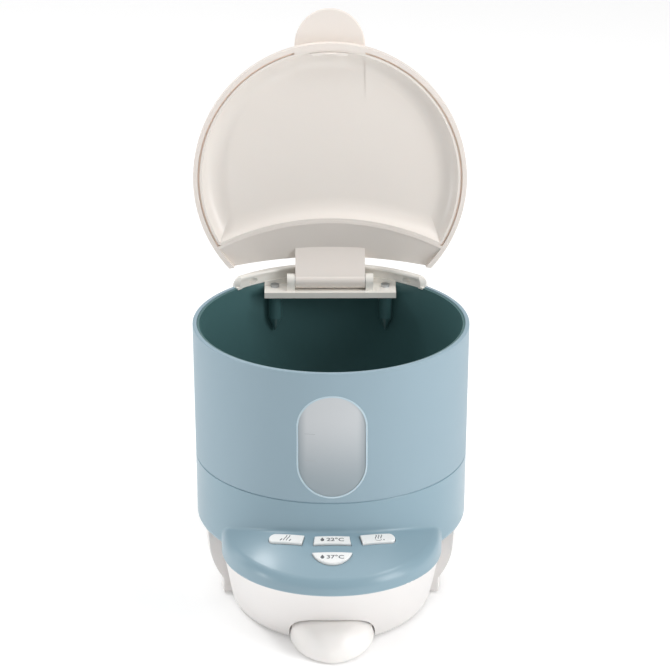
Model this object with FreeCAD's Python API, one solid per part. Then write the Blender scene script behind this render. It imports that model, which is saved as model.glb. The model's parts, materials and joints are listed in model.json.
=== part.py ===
"""Baby formula maker: a heated steam drum on a white base, with an open hinged lid.

Sizes are in millimetres.  Z points up from the table and the front faces -Y.
Everything is laid out around the drum's axis.  A place is given as (x, forward, z),
where forward is the distance in front of that axis.
"""
import FreeCAD, Part
import math
import os

# ---- drum: sleeve above, collar below -------------------------------------
RIM_Z = 146.0             # height of the drum's rim above the table
RIM_R = 70.0              # outside radius at the rim
DRUM_FOOT_Z = 40.0        # height of the drum's underside
DRUM_FOOT_R = 68.5        # outside radius at the underside
DRUM_EDGE_R = 4.0         # roll of the lower edge
SEAM_RISE = 36.0          # from the drum's underside to the seam
SEAM_CHAMFER = 0.45       # each half of the groove along the seam
SLEEVE_WALL = 2.0
COLLAR_WALL = 2.4
RIM_ROUND = 0.6
LIP_WALL = 1.1            # lip of the collar that centres the sleeve
LIP_H = 4.0
DECK_T = 2.4              # floor of the collar
DECK_HOLE_R = 46.0

# ---- chamber --------------------------------------------------------------
CHAMBER_DEPTH = 96.0      # from the rim to the chamber's floor
LINER_WALL = 1.3
LINER_DROP = 0.5          # the liner ends this far below the rim
LINER_FLOOR_R = 62.8      # inside radius at the floor
LINER_FLOOR_T = 2.0
LINER_COVE = 5.0          # inside corner between wall and floor
LINER_SKIRT_R = 60.5      # inside radius of the ring that stands on the deck
BOSS_R = 3.5
BOSS_TIP_R = 0.5
BOSS_CLOSED = 0.8         # floor left above the bosses' holes

# ---- window ---------------------------------------------------------------
WINDOW_W = 33.5           # the pane; its gasket adds GASKET_W all round
WINDOW_H = 53.6
WINDOW_RISE = 3.6         # from the seam to the pane's lower edge
WINDOW_RECESS = 0.4       # the pane lies this far inside the sleeve's skin
GASKET_W = 0.9

# ---- control panel --------------------------------------------------------
PANEL_R = 55.5            # round outline, seen from above
PANEL_FORWARD = 41.5
PANEL_DROP = 2.0          # the panel's lower edge hangs below the drum's underside
DOME_R = 100.0            # ball that shapes the panel's top
DOME_FORWARD = 33.7
DOME_RISE = 29.0          # from the panel's lower edge to the top of the ball
PANEL_ROLL = 8.0
PANEL_HEM = 1.2
PANEL_CREASE = 1.6        # hollow fillet where the panel meets the drum

# ---- buttons, in the panel's own frame ------------------------------------
KEY_TILT = 27.6           # degrees between the keys' travel and the vertical
KEY_PROUD = 1.5
KEY_GAP = 0.3             # all round each key
KEY_TRAVEL = 0.9
KEY_EDGE = 0.35
KEY_FLANGE = 1.3          # flange under the dome that keeps the key in
KEY_FLANGE_T = 1.2
STEM_R = 2.0
STEM_DROP = 2.2           # the stems end this far inside the outer keys' flanges
MID_KEY_W = 18.6
SIDE_KEY_W = 17.4
MID_KEY_H = 4.9
SIDE_KEY_H = 5.4
MID_KEY_TAPER = 0.7
MID_KEY_Y = 5.8
SIDE_KEY_X = 22.9
SIDE_KEY_Y = 9.0
SIDE_KEY_TURN = 15.0
MOON_KEY_W = 19.8
MOON_KEY_H = 6.9
MOON_KEY_Y = -2.0         # straight upper edge of the half-moon key
MOON_STEM_DROP = 3.1      # its stem lies this far below that edge
SWITCH_W = 6.0
SWITCH_H = 3.4
PLUNGER_R = 1.5
PLUNGER_H = 1.0
CONTROL_BOARD_W = 56.0
CONTROL_BOARD_BACK = 14.0
CONTROL_BOARD_FRONT = 11.0
BOARD_PLAY = 1.2          # between that board and the chamber
CONTROL_POST_X = 22.0
CONTROL_POST_Y = -5.0

# ---- base -----------------------------------------------------------------
BASE_LIFT = 1.5           # the walls end this far above the table
BASE_WALL = 2.2
BASE_FOOT_R = 56.7
BASE_STRIP_TOP = 9.0      # upright strip round the foot
BASE_BELLY_R = 61.3
BASE_BELLY_Z = 17.0
BASE_SHOULDER_R = 63.8
BASE_SHOULDER_Z = 26.0
BASE_TOP_R = 65.0
BASE_WRAP = 104.0         # degrees from the back to each end of the rear shell
BOWL_FOOT_HALF_W = 51.5
BOWL_FOOT_HALF_L = 68.0
BOWL_FOOT_FORWARD = 3.2
BOWL_INSET = 1.1          # the bowl's top edge inside the panel's outline
COVER_T = 2.0
FOOT_PAD_R = 6.0
FOOT_PAD_ROUND = 0.6
FOOT_PAD_PLACES = ((28.0, 43.0), (30.0, -36.0))     # x and distance forward, both sides
FOOT_PAD_SEAT = 1.0       # how deep the pads sit in the bottom plate
POST_R = 4.0
POST_CIRCLE_R = 50.0
POST_ANGLES = (50.0, 120.0)     # degrees from the front, on both sides
SLOT_W = 2.5
SLOT_L = 24.0
SLOT_PITCH = 6.0
SLOT_COUNT = 5
ARCH_STEPS = 16           # points that shape the toe's arch

# ---- drip tray ------------------------------------------------------------
TOE_W = 42.6
TOE_TOP = 18.0
TOE_SQUARENESS = 3.0      # exponent of its arched section: 2 is an ellipse
TOE_TIP = 95.4            # forward reach of the toe
TOE_NOSE_L = 35.0
TOE_CROWN_L = 17.0        # length over which the top bends down to the tip
TOE_TIP_H = 5.0
TOE_TIP_STEP = 0.12       # the flat left at the tip
TOE_BACK = 66.8
TOE_LIFT = 0.9
TOE_WAIST = 1.5           # height where the toe is widest; its sole curves in below
TOE_SECTIONS = 10
TRAY_W = 40.0
TRAY_BACK = 8.0
TRAY_H = 7.0
TRAY_WALL = 1.6
TRAY_CORNER_R = 3.0
TRAY_GAP = 0.3
RAIL_T = 2.0
RAIL_H = 8.0

# ---- hinge ----------------------------------------------------------------
HINGE_INSET = 16.0        # the pin lies this far inside the drum's outline
HINGE_RISE = 1.0          # and this far above the rim
LID_OPEN = 98.0           # degrees from shut to open
PIN_R = 1.5
BARREL_R = 3.8
ARM_W = 36.0
ARM_T = 3.5
ARM_ROOT_L = 6.0          # how far the arm runs under the lid's plate
EAR_T = 4.0
BARREL_PLAY = 0.4         # between the barrel and the shelf below it
BLOCK_WRAP = 46.0         # degrees from the back to each end of the block
BLOCK_T = 3.8             # from the drum's outline inwards
BLOCK_DEPTH = 1.1         # below the rim
BLOCK_RISE = 5.2          # above the rim
BLOCK_ROUND = 1.2
BLOCK_END_R = 5.0         # rounding of the ends, seen from behind
BLOCK_HOLLOW = 0.8        # shallow field in the inner face
BLOCK_LIP = 1.6           # left above that field
SHELF_HALF_W = 34.0
SHELF_T = 3.0
SHELF_REACH = 6.5         # in front of the pin
HINGE_SCREW_X = 28.6
HINGE_HEAD_GAP = 0.4      # between the screws' heads and the block's bar
HINGE_BOSS_L = 14.0

# ---- lid ------------------------------------------------------------------
LID_PROUD = 0.5           # the lid's edge outside the drum's
LID_H = 9.0
LID_GAP = 0.3             # between the shut lid and the rim
LID_PLATE = 2.0
LID_SKIRT = 2.3
LID_ROUND = 3.2
CUT_AHEAD = 6.6           # from the pin to the corners of the hollow rear edge
CUT_SAG = 4.8
SEAL_W = 1.0
SEAL_H = 3.5
SEAL_RECESS = 1.0
LID_RING = 1.2
LID_LINER_T = 1.2
LID_COVE_W = 10.0         # width of the hollow curve between its rim and floor
ARCH_BACK = 22.0          # top of the arched rib
ARCH_END_X = 57.4
ARCH_END_BACK = 35.5
ARCH_CORNER_R = 1.2
RIB_T = 1.5
LINER_EDGE = 0.2          # the liner's rim lies this far inside the skirt's edge
COVE_EDGE = 0.4
TAB_W = 36.4
TAB_L = 16.9              # in front of the lid's edge
TAB_ROOT = 2.5            # straight sides of the tab, inside the lid's edge
TAB_ROUND = 0.7
TAB_T = 2.5
GRIP_SLOPE = 1.3          # degrees; shallow field inside the lid, under the tab, fades out inwards
GRIP_END = 36.0
LATCH_W = 18.0
LATCH_SLANT = 2.6         # each end runs out by this much towards the rim
LATCH_T = 1.5
LATCH_DROP = 0.9
LATCH_PIP_W = 6.4
LATCH_PIP_D = 1.2
LATCH_PIP_H = 0.8

# ---- heater and electrics -------------------------------------------------
PLATE_HOLE_R = 42.0
PLATE_FLANGE_R = 45.5
PLATE_FLANGE_T = 1.2
PLATE_SEAL_T = 1.2
PLATE_SEAL_LIP = 1.0
PLATE_EDGE = 0.4
PLATE_DIP = 0.5           # the hot face lies this far below the chamber's floor
ELEMENT_R = 30.0
ELEMENT_TUBE_R = 3.2
ELEMENT_GAP = 40.0        # degrees left open at the back
ELEMENT_LEG_L = 8.0
ELEMENT_LEG_R = 2.5
CLIP_CIRCLE_R = 52.0
CLIP_W = 9.0
CLIP_T = 1.2
CLIP_GRIP = 3.0           # length of a clip's screw inside its boss
CLIP_ANGLES = (60.0, 180.0, 300.0)
LINER_SCREW_CIRCLE_R = 56.0
LINER_SCREW_ANGLES = (20.0, 140.0, 260.0)
PROBE_R = 3.0
PROBE_L = 9.0
PROBE_FLANGE = 2.0
FUSE_L = 16.0
FUSE_W = 6.0
FUSE_H = 5.0
FUSE_X = 16.0
OVERFLOW_R = 3.0
OVERFLOW_BORE_R = 2.0
OVERFLOW_FLANGE_R = 5.0
OVERFLOW_FLANGE_T = 1.2
OVERFLOW_FORWARD = 50.0
OVERFLOW_RISE = 8.0
OVERFLOW_END_Z = 13.0
BOARD_T = 1.6
BOARD_Z = 14.0
BOARD_W = 64.0
BOARD_BACK = 43.0
BOARD_L = 40.0
BOARD_POST_R = 3.0
BOARD_POST_INSET = 4.0
PART_ROW = 29.0           # from the board's back edge to the transformer and the relay
PART_X = 14.0
COIL_W = 15.0
COIL_H = 15.0
CORE_W = 22.0
CORE_D = 9.0
CORE_H = 12.0
RELAY_W = 16.0
RELAY_H = 14.0
CAN_ROW = 11.0            # from the board's back edge to the two capacitors
CAN_X = 21.0
CAN_R = 4.5
CAN_H = 13.0
SMALL_CAN_R = 3.5
SMALL_CAN_H = 9.0
LEAD_ROW = 5.0            # from the board's back edge to the mains leads
TERMINAL_W = 28.0
TERMINAL_D = 8.0
TERMINAL_H = 7.0
TERMINAL_HOLE_X = 3.5
TERMINAL_HOLE_R = 1.6
CABLE_R = 1.6
CABLE_BEND_R = 6.0
CABLE_X = 17.0            # where it leaves the control board
CABLE_SIDE_X = 29.0       # and where it runs beside the tray
CABLE_LOW_Z = 26.0
CABLE_RUN = 22.0
CABLE_END = -14.0
CABLE_START_L = 6.0       # straight out of the control board
INLET_Z = 24.0
INLET_PLANE = 64.8        # the inlet's face, behind the drum's axis
INLET_W = 20.0
INLET_H = 11.0
INLET_DEPTH = 16.0
INLET_FLANGE = 2.5
INLET_FLANGE_T = 1.5
INLET_HOLE_R = 4.0
INLET_HOLE_DEPTH = 11.0
INLET_PIN_R = 1.2
INLET_PIN_X = 4.3
INLET_PIN_BACK = 2.0      # the pins end this far inside the socket's face
INLET_WAIST = 3.0         # half height of the neck between its two rounds
LEAD_R = 1.2
LEAD_BEND_R = 4.0
LEAD_SLEEVE_R = 2.1
LEAD_SLEEVE_L = 5.0

# ---- screws and fits ------------------------------------------------------
SCREW_R = 1.5
SCREW_HEAD_R = 2.8
SCREW_HEAD_H = 1.2
SCREW_GRIP = 14.0         # length of a long screw inside its post
SMALL_SCREW_R = 1.1
SMALL_HEAD_R = 2.2
SMALL_HEAD_H = 1.3
SMALL_GRIP = 5.0          # least length of a small screw inside its boss
SMALL_BORE_L = 7.0        # depth of the boss's hole
DRIVE_W = 0.7             # driver slot in every screw head
HOLE_PLAY = 0.2           # clearance hole over its screw
THREAD_FIT = 0.03         # screw in its boss
SNUG = 0.05               # parts pushed into one another
RUNNING = 0.05            # barrel over the pin
SIDE_PLAY = 0.3
OVER = 20.0               # how far a cutting shape runs past what it cuts

# ---- worked-out places ----------------------------------------------------
SEAM_Z = DRUM_FOOT_Z + SEAM_RISE
FLOOR_Z = RIM_Z - CHAMBER_DEPTH
FLOOR_UNDER_Z = FLOOR_Z - LINER_FLOOR_T
DECK_TOP_Z = DRUM_FOOT_Z + DECK_T
PANEL_Z = DRUM_FOOT_Z - PANEL_DROP
SHELF_TOP_Z = RIM_Z + HINGE_RISE - BARREL_R - BARREL_PLAY
DOME_Z = PANEL_Z + DOME_RISE - DOME_R
WINDOW_Z = SEAM_Z + WINDOW_RISE
COVER_TOP_Z = BASE_LIFT + COVER_T
HINGE_Z = RIM_Z + HINGE_RISE
HINGE_BACK = RIM_R - HINGE_INSET
BLOCK_R = RIM_R - BLOCK_T
HINGE_SCREW_R = BLOCK_R - SMALL_HEAD_R - HINGE_HEAD_GAP
HINGE_SCREW_BACK = math.sqrt(HINGE_SCREW_R ** 2 - HINGE_SCREW_X ** 2)
LID_R = RIM_R + LID_PROUD
TAB_REACH = LID_R + TAB_L
CUT_BACK = HINGE_BACK - CUT_AHEAD
LID_Z = RIM_Z + LID_GAP
LID_TOP_Z = LID_Z + LID_H
PLATE_UNDER_Z = LID_TOP_Z - LID_PLATE
CUT_X = math.sqrt(LID_R ** 2 - CUT_BACK ** 2)
SEAL_R = LID_R - LID_SKIRT
LINER_RIM_R = RIM_R - SLEEVE_WALL - SNUG - LINER_WALL
PLATE_FLANGE_TOP_Z = FLOOR_UNDER_Z - PLATE_SEAL_T
PLATE_FLANGE_Z = PLATE_FLANGE_TOP_Z - PLATE_FLANGE_T
CLIP_Z = PLATE_FLANGE_Z - CLIP_T

# The row's origin lies midway between the panel's front and the open tab's back.
OPEN = math.radians(LID_OPEN)
FRONT_REACH = PANEL_FORWARD + PANEL_R
TAB_FROM_PIN = TAB_REACH + HINGE_BACK
TAB_TOP_OVER_PIN = LID_TOP_Z - HINGE_Z
BACK_REACH = HINGE_BACK - TAB_FROM_PIN * math.cos(OPEN) + TAB_TOP_OVER_PIN * math.sin(OPEN)
AXIS_Y = (FRONT_REACH - BACK_REACH) / 2

UP = FreeCAD.Vector(0, 0, 1)
SIDEWAYS = FreeCAD.Vector(1, 0, 0)


# ---- helpers --------------------------------------------------------------
def at(x, forward, z):
    """A point x to the right, forward in front of the drum's axis, z above the table."""
    return FreeCAD.Vector(x, -forward, z)


def drum_radius(z):
    """Outside radius of the slightly conical drum."""
    return DRUM_FOOT_R + (RIM_R - DRUM_FOOT_R) * (z - DRUM_FOOT_Z) / (RIM_Z - DRUM_FOOT_Z)


def liner_radius(z):
    """Inside radius of the chamber."""
    return LINER_FLOOR_R + (LINER_RIM_R - LINER_FLOOR_R) * (z - FLOOR_Z) / CHAMBER_DEPTH


def outline(place, start, *steps):
    """Closed face.  A step is an end point, or a pair (point on the arc, end point)."""
    edges = []
    here = start
    for step in steps:
        if isinstance(step[0], tuple):
            through, end = step
            edges.append(Part.Arc(place(*here), place(*through), place(*end)).toShape())
        else:
            end = step
            edges.append(Part.LineSegment(place(*here), place(*end)).toShape())
        here = end
    if math.dist(here, start) > 1e-6:
        edges.append(Part.LineSegment(place(*here), place(*start)).toShape())
    return Part.Face(Part.Wire(edges))


def radial(r, z):
    return FreeCAD.Vector(r, 0, z)


def turned(start, *steps):
    """Solid of revolution about the drum's axis from an outline in (radius, z)."""
    return outline(radial, start, *steps).revolve(FreeCAD.Vector(), UP, 360)


def roll_in(radius):
    """How far the middle of a quarter round lies inside its corner, along each side."""
    return radius * (1 - math.sqrt(0.5))


def rod(x, forward, z0, z1, radius):
    return Part.makeCylinder(radius, z1 - z0, at(x, forward, z0), UP)


def ring(x, forward, z0, z1, inner, outer):
    return rod(x, forward, z0, z1, outer).cut(rod(x, forward, z0, z1, inner))


def block(x0, x1, forward0, forward1, z0, z1):
    """Box between two distances forward."""
    return Part.makeBox(x1 - x0, forward1 - forward0, z1 - z0, at(x0, forward1, z0))


def wedge(half_angle, z0, z1, middle=90.0):
    """Slice of a disc about the drum's axis, half_angle to both sides of its middle.

    The middle is in degrees from +X, so 90 is the back and 270 the front.
    """
    slice_ = Part.makeCylinder(RIM_R + OVER, z1 - z0, at(0, 0, z0), UP, 2 * half_angle)
    slice_.rotate(FreeCAD.Vector(), UP, middle - half_angle)
    return slice_


def around(angle, radius):
    """(x, forward) of a point at an angle from the front, towards +X."""
    turn = math.radians(angle)
    return radius * math.sin(turn), radius * math.cos(turn)


def both_sides(shape):
    """The shape and its mirror image at -x."""
    return [shape, shape.mirror(FreeCAD.Vector(), SIDEWAYS)]


def joined(shapes):
    first, *rest = shapes
    return first.fuse(rest).removeSplitter()


def chord_radius(half_chord, sag):
    return (half_chord ** 2 + sag ** 2) / (2 * sag)


def bent_wire(points, radius, bend):
    """Round lead of straight runs joined by tangent arcs."""
    corners = [FreeCAD.Vector(point) for point in points]
    edges = []
    here = corners[0]
    for before, corner, after in zip(corners, corners[1:], corners[2:]):
        inward = (before - corner).normalize()
        outward = (after - corner).normalize()
        half = inward.getAngle(outward) / 2
        cut = bend / math.tan(half)
        first = corner + inward * cut
        last = corner + outward * cut
        middle_way = (inward + outward).normalize()
        middle = corner + middle_way * (bend / math.sin(half) - bend)
        edges.append(Part.LineSegment(here, first).toShape())
        edges.append(Part.Arc(first, middle, last).toShape())
        here = last
    edges.append(Part.LineSegment(here, corners[-1]).toShape())
    path = Part.Wire(edges)
    start_way = corners[1] - corners[0]
    section = Part.Wire(Part.makeCircle(radius, corners[0], start_way))
    return path.makePipeShell([section], True, True)


def screw(x, forward, seat, length, radius, head_radius, head_height, way=1):
    """Slotted screw on its seat; way is +1 when driven upwards and -1 when driven down."""
    shank = Part.makeCylinder(radius, length, at(x, forward, seat), UP * way)
    head = Part.makeCylinder(head_radius, head_height, at(x, forward, seat), UP * -way)
    outside = seat - way * head_height
    bottom = outside + way * head_height / 2
    slot = block(x - head_radius, x + head_radius, forward - DRIVE_W / 2, forward + DRIVE_W / 2,
                 min(outside, bottom), max(outside, bottom))
    return shank.fuse(head).cut(slot)


def small_screw(x, forward, seat, length, way=1):
    return screw(x, forward, seat, length, SMALL_SCREW_R, SMALL_HEAD_R, SMALL_HEAD_H, way)


# ---- forms that several parts share ---------------------------------------
def sleeve_form(inset, z0, z1):
    """The drum's conical body, shrunk by inset."""
    return Part.makeCone(drum_radius(z0) - inset, drum_radius(z1) - inset, z1 - z0, at(0, 0, z0), UP)


def liner_form(grow, z0, z1):
    """The chamber's conical hollow, grown by the wall outside it."""
    return Part.makeCone(liner_radius(z0) + grow, liner_radius(z1) + grow, z1 - z0, at(0, 0, z0), UP)


def window_form(grow):
    """Upright stadium through the drum's front wall."""
    half = WINDOW_W / 2 + grow
    low = WINDOW_Z + WINDOW_W / 2
    high = WINDOW_Z + WINDOW_H - WINDOW_W / 2

    def place(x, z):
        return at(x, LINER_SKIRT_R - OVER, z)

    face = outline(place, (half, low), (half, high), ((0, high + half), (-half, high)),
                   (-half, low), ((0, low - half), (half, low)))
    return face.extrude(at(0, 2 * OVER + RIM_R - LINER_SKIRT_R, 0))


def panel_form(inset, foot_z):
    """Cushion of the control panel, shrunk by inset at its top and round side."""
    side = rod(0, PANEL_FORWARD, foot_z, DOME_Z + DOME_R, PANEL_R - inset)
    dome = Part.makeSphere(DOME_R - inset, at(0, DOME_FORWARD, DOME_Z))
    cushion = side.common(dome)
    upper = [edge for edge in cushion.Edges if edge.BoundBox.ZMin > foot_z + 1]
    upper = [edge for edge in upper if edge.BoundBox.XLength > PANEL_R]
    return cushion.makeFillet(PANEL_ROLL - inset, upper)


def base_form(inset):
    """Turned body of the rear base shell."""
    foot = BASE_FOOT_R - inset
    return turned((0, BASE_LIFT), (foot, BASE_LIFT), (foot, BASE_STRIP_TOP),
                  ((BASE_BELLY_R - inset, BASE_BELLY_Z), (BASE_SHOULDER_R - inset, BASE_SHOULDER_Z)),
                  (BASE_TOP_R - inset, DRUM_FOOT_Z), (0, DRUM_FOOT_Z))


def oval_face(forward, z, half_length, half_width):
    """Flat ellipse, lying along the two main directions."""
    longer = max(half_length, half_width)
    edge = Part.Ellipse(FreeCAD.Vector(), longer, min(half_length, half_width)).toShape()
    if half_length > half_width:
        edge.rotate(FreeCAD.Vector(), UP, 90)
    edge.translate(at(0, forward, z))
    return Part.Face(Part.Wire(edge))


def bowl_foot(inset):
    return oval_face(BOWL_FOOT_FORWARD, BASE_LIFT, BOWL_FOOT_HALF_L - inset, BOWL_FOOT_HALF_W - inset)


def bowl_form(inset):
    """Bowl that leans forward from an oval foot to a round top."""
    top = Part.Circle(FreeCAD.Vector(), UP, PANEL_R - BOWL_INSET - inset).toShape()
    top.rotate(FreeCAD.Vector(), UP, 90)
    top.translate(at(0, PANEL_FORWARD, PANEL_Z))
    return Part.makeLoft([bowl_foot(inset).OuterWire, Part.Wire(top)], True, True)


def rear_slice():
    """All round the back, as far as the rear shell wraps."""
    return wedge(BASE_WRAP, 0, DRUM_FOOT_Z)


def end_walls():
    """Flat walls that close the rear shell where it meets the front bowl."""
    wall = block(0, RIM_R, -BASE_WALL, 0, BASE_LIFT, DRUM_FOOT_Z)
    wall.rotate(FreeCAD.Vector(), UP, BASE_WRAP - 90 - 2 * (BASE_WRAP - 90))
    return both_sides(wall)


def posts(z0, z1, radius):
    """Rods on the circle of the long screw posts."""
    rods = []
    for angle in POST_ANGLES:
        x, forward = around(angle, POST_CIRCLE_R)
        rods += both_sides(rod(x, forward, z0, z1, radius))
    return rods


def on_circle(angles, circle_r, z0, z1, radius):
    places = [around(angle, circle_r) for angle in angles]
    return [rod(x, forward, z0, z1, radius) for x, forward in places]


def toe_curve(forward, half, rise, waist, points_used):
    """Half of a squarish oval above the waist, or below it when rise is negative."""
    power = 2 / TOE_SQUARENESS
    points = []
    for step in range(points_used + 1):
        turn = math.pi * step / points_used
        across = half * math.copysign(abs(math.cos(turn)) ** power, math.cos(turn))
        points.append(at(across, forward, waist + rise * math.sin(turn) ** power))
    curve = Part.BSplineCurve()
    curve.interpolate(points)
    return curve.toShape()


def toe_door(grow, forward0, forward1):
    """Arched door that the tray's toe fills in the front bowl."""
    half = TOE_W / 2 + grow
    arch = toe_curve(forward0, half, TOE_TOP - TOE_WAIST + grow, TOE_WAIST, ARCH_STEPS)
    sides = [at(x, forward0, z) for x, z in ((-half, TOE_WAIST), (-half, 0), (half, 0), (half, TOE_WAIST))]
    lines = [Part.LineSegment(here, there).toShape() for here, there in zip(sides, sides[1:])]
    return Part.Face(Part.Wire([arch] + lines)).extrude(at(0, forward1 - forward0, 0))


# ---- control panel's own frame --------------------------------------------
# Its origin is the middle of the dome's ball, its Z is the way out through the keys
# and its Y runs up the panel towards the drum.
PANEL_FRAME = FreeCAD.Placement(at(0, DOME_FORWARD, DOME_Z),
                                FreeCAD.Rotation(SIDEWAYS, KEY_TILT))
DOME_INNER_R = DOME_R - COLLAR_WALL
FLANGE_TOP_R = DOME_INNER_R - KEY_GAP
FLANGE_R = FLANGE_TOP_R - KEY_FLANGE_T
SIDE_KEY_REACH = math.hypot(SIDE_KEY_X, SIDE_KEY_Y)
STEM_END = math.sqrt(FLANGE_R ** 2 - SIDE_KEY_REACH ** 2) - STEM_DROP
BOARD_FACE = STEM_END - KEY_TRAVEL - SNUG - PLUNGER_H - SWITCH_H


def in_panel(shape):
    """Moves a shape from the panel's frame to its place."""
    moved = shape.copy()
    moved.Placement = PANEL_FRAME.multiply(moved.Placement)
    return moved


def ball(radius):
    return Part.makeSphere(radius)


def key_outline(name, grow):
    """Face of a key at the height of the panel frame's origin."""
    def place(x, y):
        return FreeCAD.Vector(x, y, 0)

    if name == "moon":
        half = MOON_KEY_W / 2
        bow = ((0, MOON_KEY_Y - MOON_KEY_H), (half, MOON_KEY_Y))
        face = outline(place, (half, MOON_KEY_Y), (-half, MOON_KEY_Y), bow)
    elif name == "middle":
        low = MID_KEY_Y - MID_KEY_H / 2
        high = MID_KEY_Y + MID_KEY_H / 2
        half = MID_KEY_W / 2
        upper_half = half - MID_KEY_TAPER
        face = outline(place, (-half, low), (half, low), (upper_half, high), (-upper_half, high))
    else:
        half = SIDE_KEY_W / 2
        tall = SIDE_KEY_H / 2
        round_end = ((half, 0), (half - tall, tall))
        face = outline(place, (-half, -tall), (half - tall, -tall), round_end, (-half, tall))
        face.rotate(FreeCAD.Vector(), UP, SIDE_KEY_TURN)
        face.translate(FreeCAD.Vector(SIDE_KEY_X, SIDE_KEY_Y, 0))
    if grow:
        face = face.makeOffset2D(grow)
    return face


def key_prism(name, grow, z0, z1):
    face = key_outline(name, grow)
    if not isinstance(face, Part.Face):
        face = Part.Face(face.Wires[0])
    face.translate(FreeCAD.Vector(0, 0, z0))
    return face.extrude(FreeCAD.Vector(0, 0, z1 - z0))


KEY_STEMS = {
    "left": (-SIDE_KEY_X, SIDE_KEY_Y),
    "middle": (0, MID_KEY_Y),
    "moon": (0, MOON_KEY_Y - MOON_STEM_DROP),
    "right": (SIDE_KEY_X, SIDE_KEY_Y),
}


def key_shape(name, grow, z0, z1):
    """Prism of a key; the left key is the mirror image of the right one."""
    if name != "left":
        return key_prism(name, grow, z0, z1)
    return key_prism("right", grow, z0, z1).mirror(FreeCAD.Vector(), SIDEWAYS)


def key(name):
    """Cap with its flange and stem."""
    cap = key_shape(name, 0, FLANGE_R - OVER, DOME_R + OVER).common(ball(DOME_R + KEY_PROUD))
    cap = cap.cut(ball(FLANGE_TOP_R - KEY_FLANGE_T / 2))
    top = [edge for edge in cap.Edges if is_on_ball(edge, DOME_R + KEY_PROUD)]
    cap = cap.makeChamfer(KEY_EDGE, top)
    flange = key_shape(name, KEY_FLANGE, FLANGE_R - OVER, DOME_R)
    flange = flange.common(ball(FLANGE_TOP_R)).cut(ball(FLANGE_R))
    x, y = KEY_STEMS[name]
    stem = Part.makeCylinder(STEM_R, FLANGE_TOP_R - STEM_END, FreeCAD.Vector(x, y, STEM_END))
    stem = stem.common(ball(FLANGE_TOP_R - KEY_FLANGE_T / 2))
    return in_panel(joined([cap, flange, stem]))


def is_on_ball(edge, radius):
    middle = edge.valueAt((edge.FirstParameter + edge.LastParameter) / 2)
    ends = [edge.valueAt(edge.FirstParameter), edge.valueAt(edge.LastParameter), middle]
    return all(abs(point.Length - radius) < 0.01 for point in ends)


def tact_switches():
    """One small push switch under each key."""
    switches = []
    for x, y in KEY_STEMS.values():
        body = Part.makeBox(SWITCH_W, SWITCH_W, SWITCH_H)
        body.translate(FreeCAD.Vector(x - SWITCH_W / 2, y - SWITCH_W / 2, BOARD_FACE))
        plunger = Part.makeCylinder(PLUNGER_R, PLUNGER_H, FreeCAD.Vector(x, y, BOARD_FACE + SWITCH_H))
        switches.append(in_panel(body.fuse(plunger)))
    return switches


def control_posts(z0, z1, radius):
    post = Part.makeCylinder(radius, z1 - z0, FreeCAD.Vector(CONTROL_POST_X, CONTROL_POST_Y, z0))
    return both_sides(post)


def control_board():
    """Printed board below the keys, notched where the chamber passes."""
    board = Part.makeBox(CONTROL_BOARD_W, CONTROL_BOARD_BACK + CONTROL_BOARD_FRONT, BOARD_T)
    board.translate(FreeCAD.Vector(-CONTROL_BOARD_W / 2, -CONTROL_BOARD_FRONT, BOARD_FACE - BOARD_T))
    for hole in control_posts(BOARD_FACE - OVER, BOARD_FACE + OVER, SMALL_SCREW_R + HOLE_PLAY):
        board = board.cut(hole)
    notch = rod(0, 0, 0, RIM_Z, liner_radius(FLOOR_Z) + LINER_WALL + BOARD_PLAY)
    return in_panel(board).cut(notch)


# ---- drum -----------------------------------------------------------------
def drum_sleeve():
    """Upper drum skin, open at both ends, with the window and the hinge notch."""
    top = RIM_Z - RIM_ROUND
    outer_top = drum_radius(RIM_Z)
    inner_top = outer_top - SLEEVE_WALL
    foot = drum_radius(SEAM_Z)
    crown = roll_in(RIM_ROUND)
    sleeve = turned(
        (foot - SLEEVE_WALL, SEAM_Z),
        (foot - SEAM_CHAMFER, SEAM_Z),
        (drum_radius(SEAM_Z + SEAM_CHAMFER), SEAM_Z + SEAM_CHAMFER),
        (drum_radius(top), top),
        ((outer_top - crown, RIM_Z - crown), (outer_top - RIM_ROUND, RIM_Z)),
        (inner_top, RIM_Z))
    return sleeve.cut(window_form(GASKET_W)).cut(bar_notch())


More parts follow.
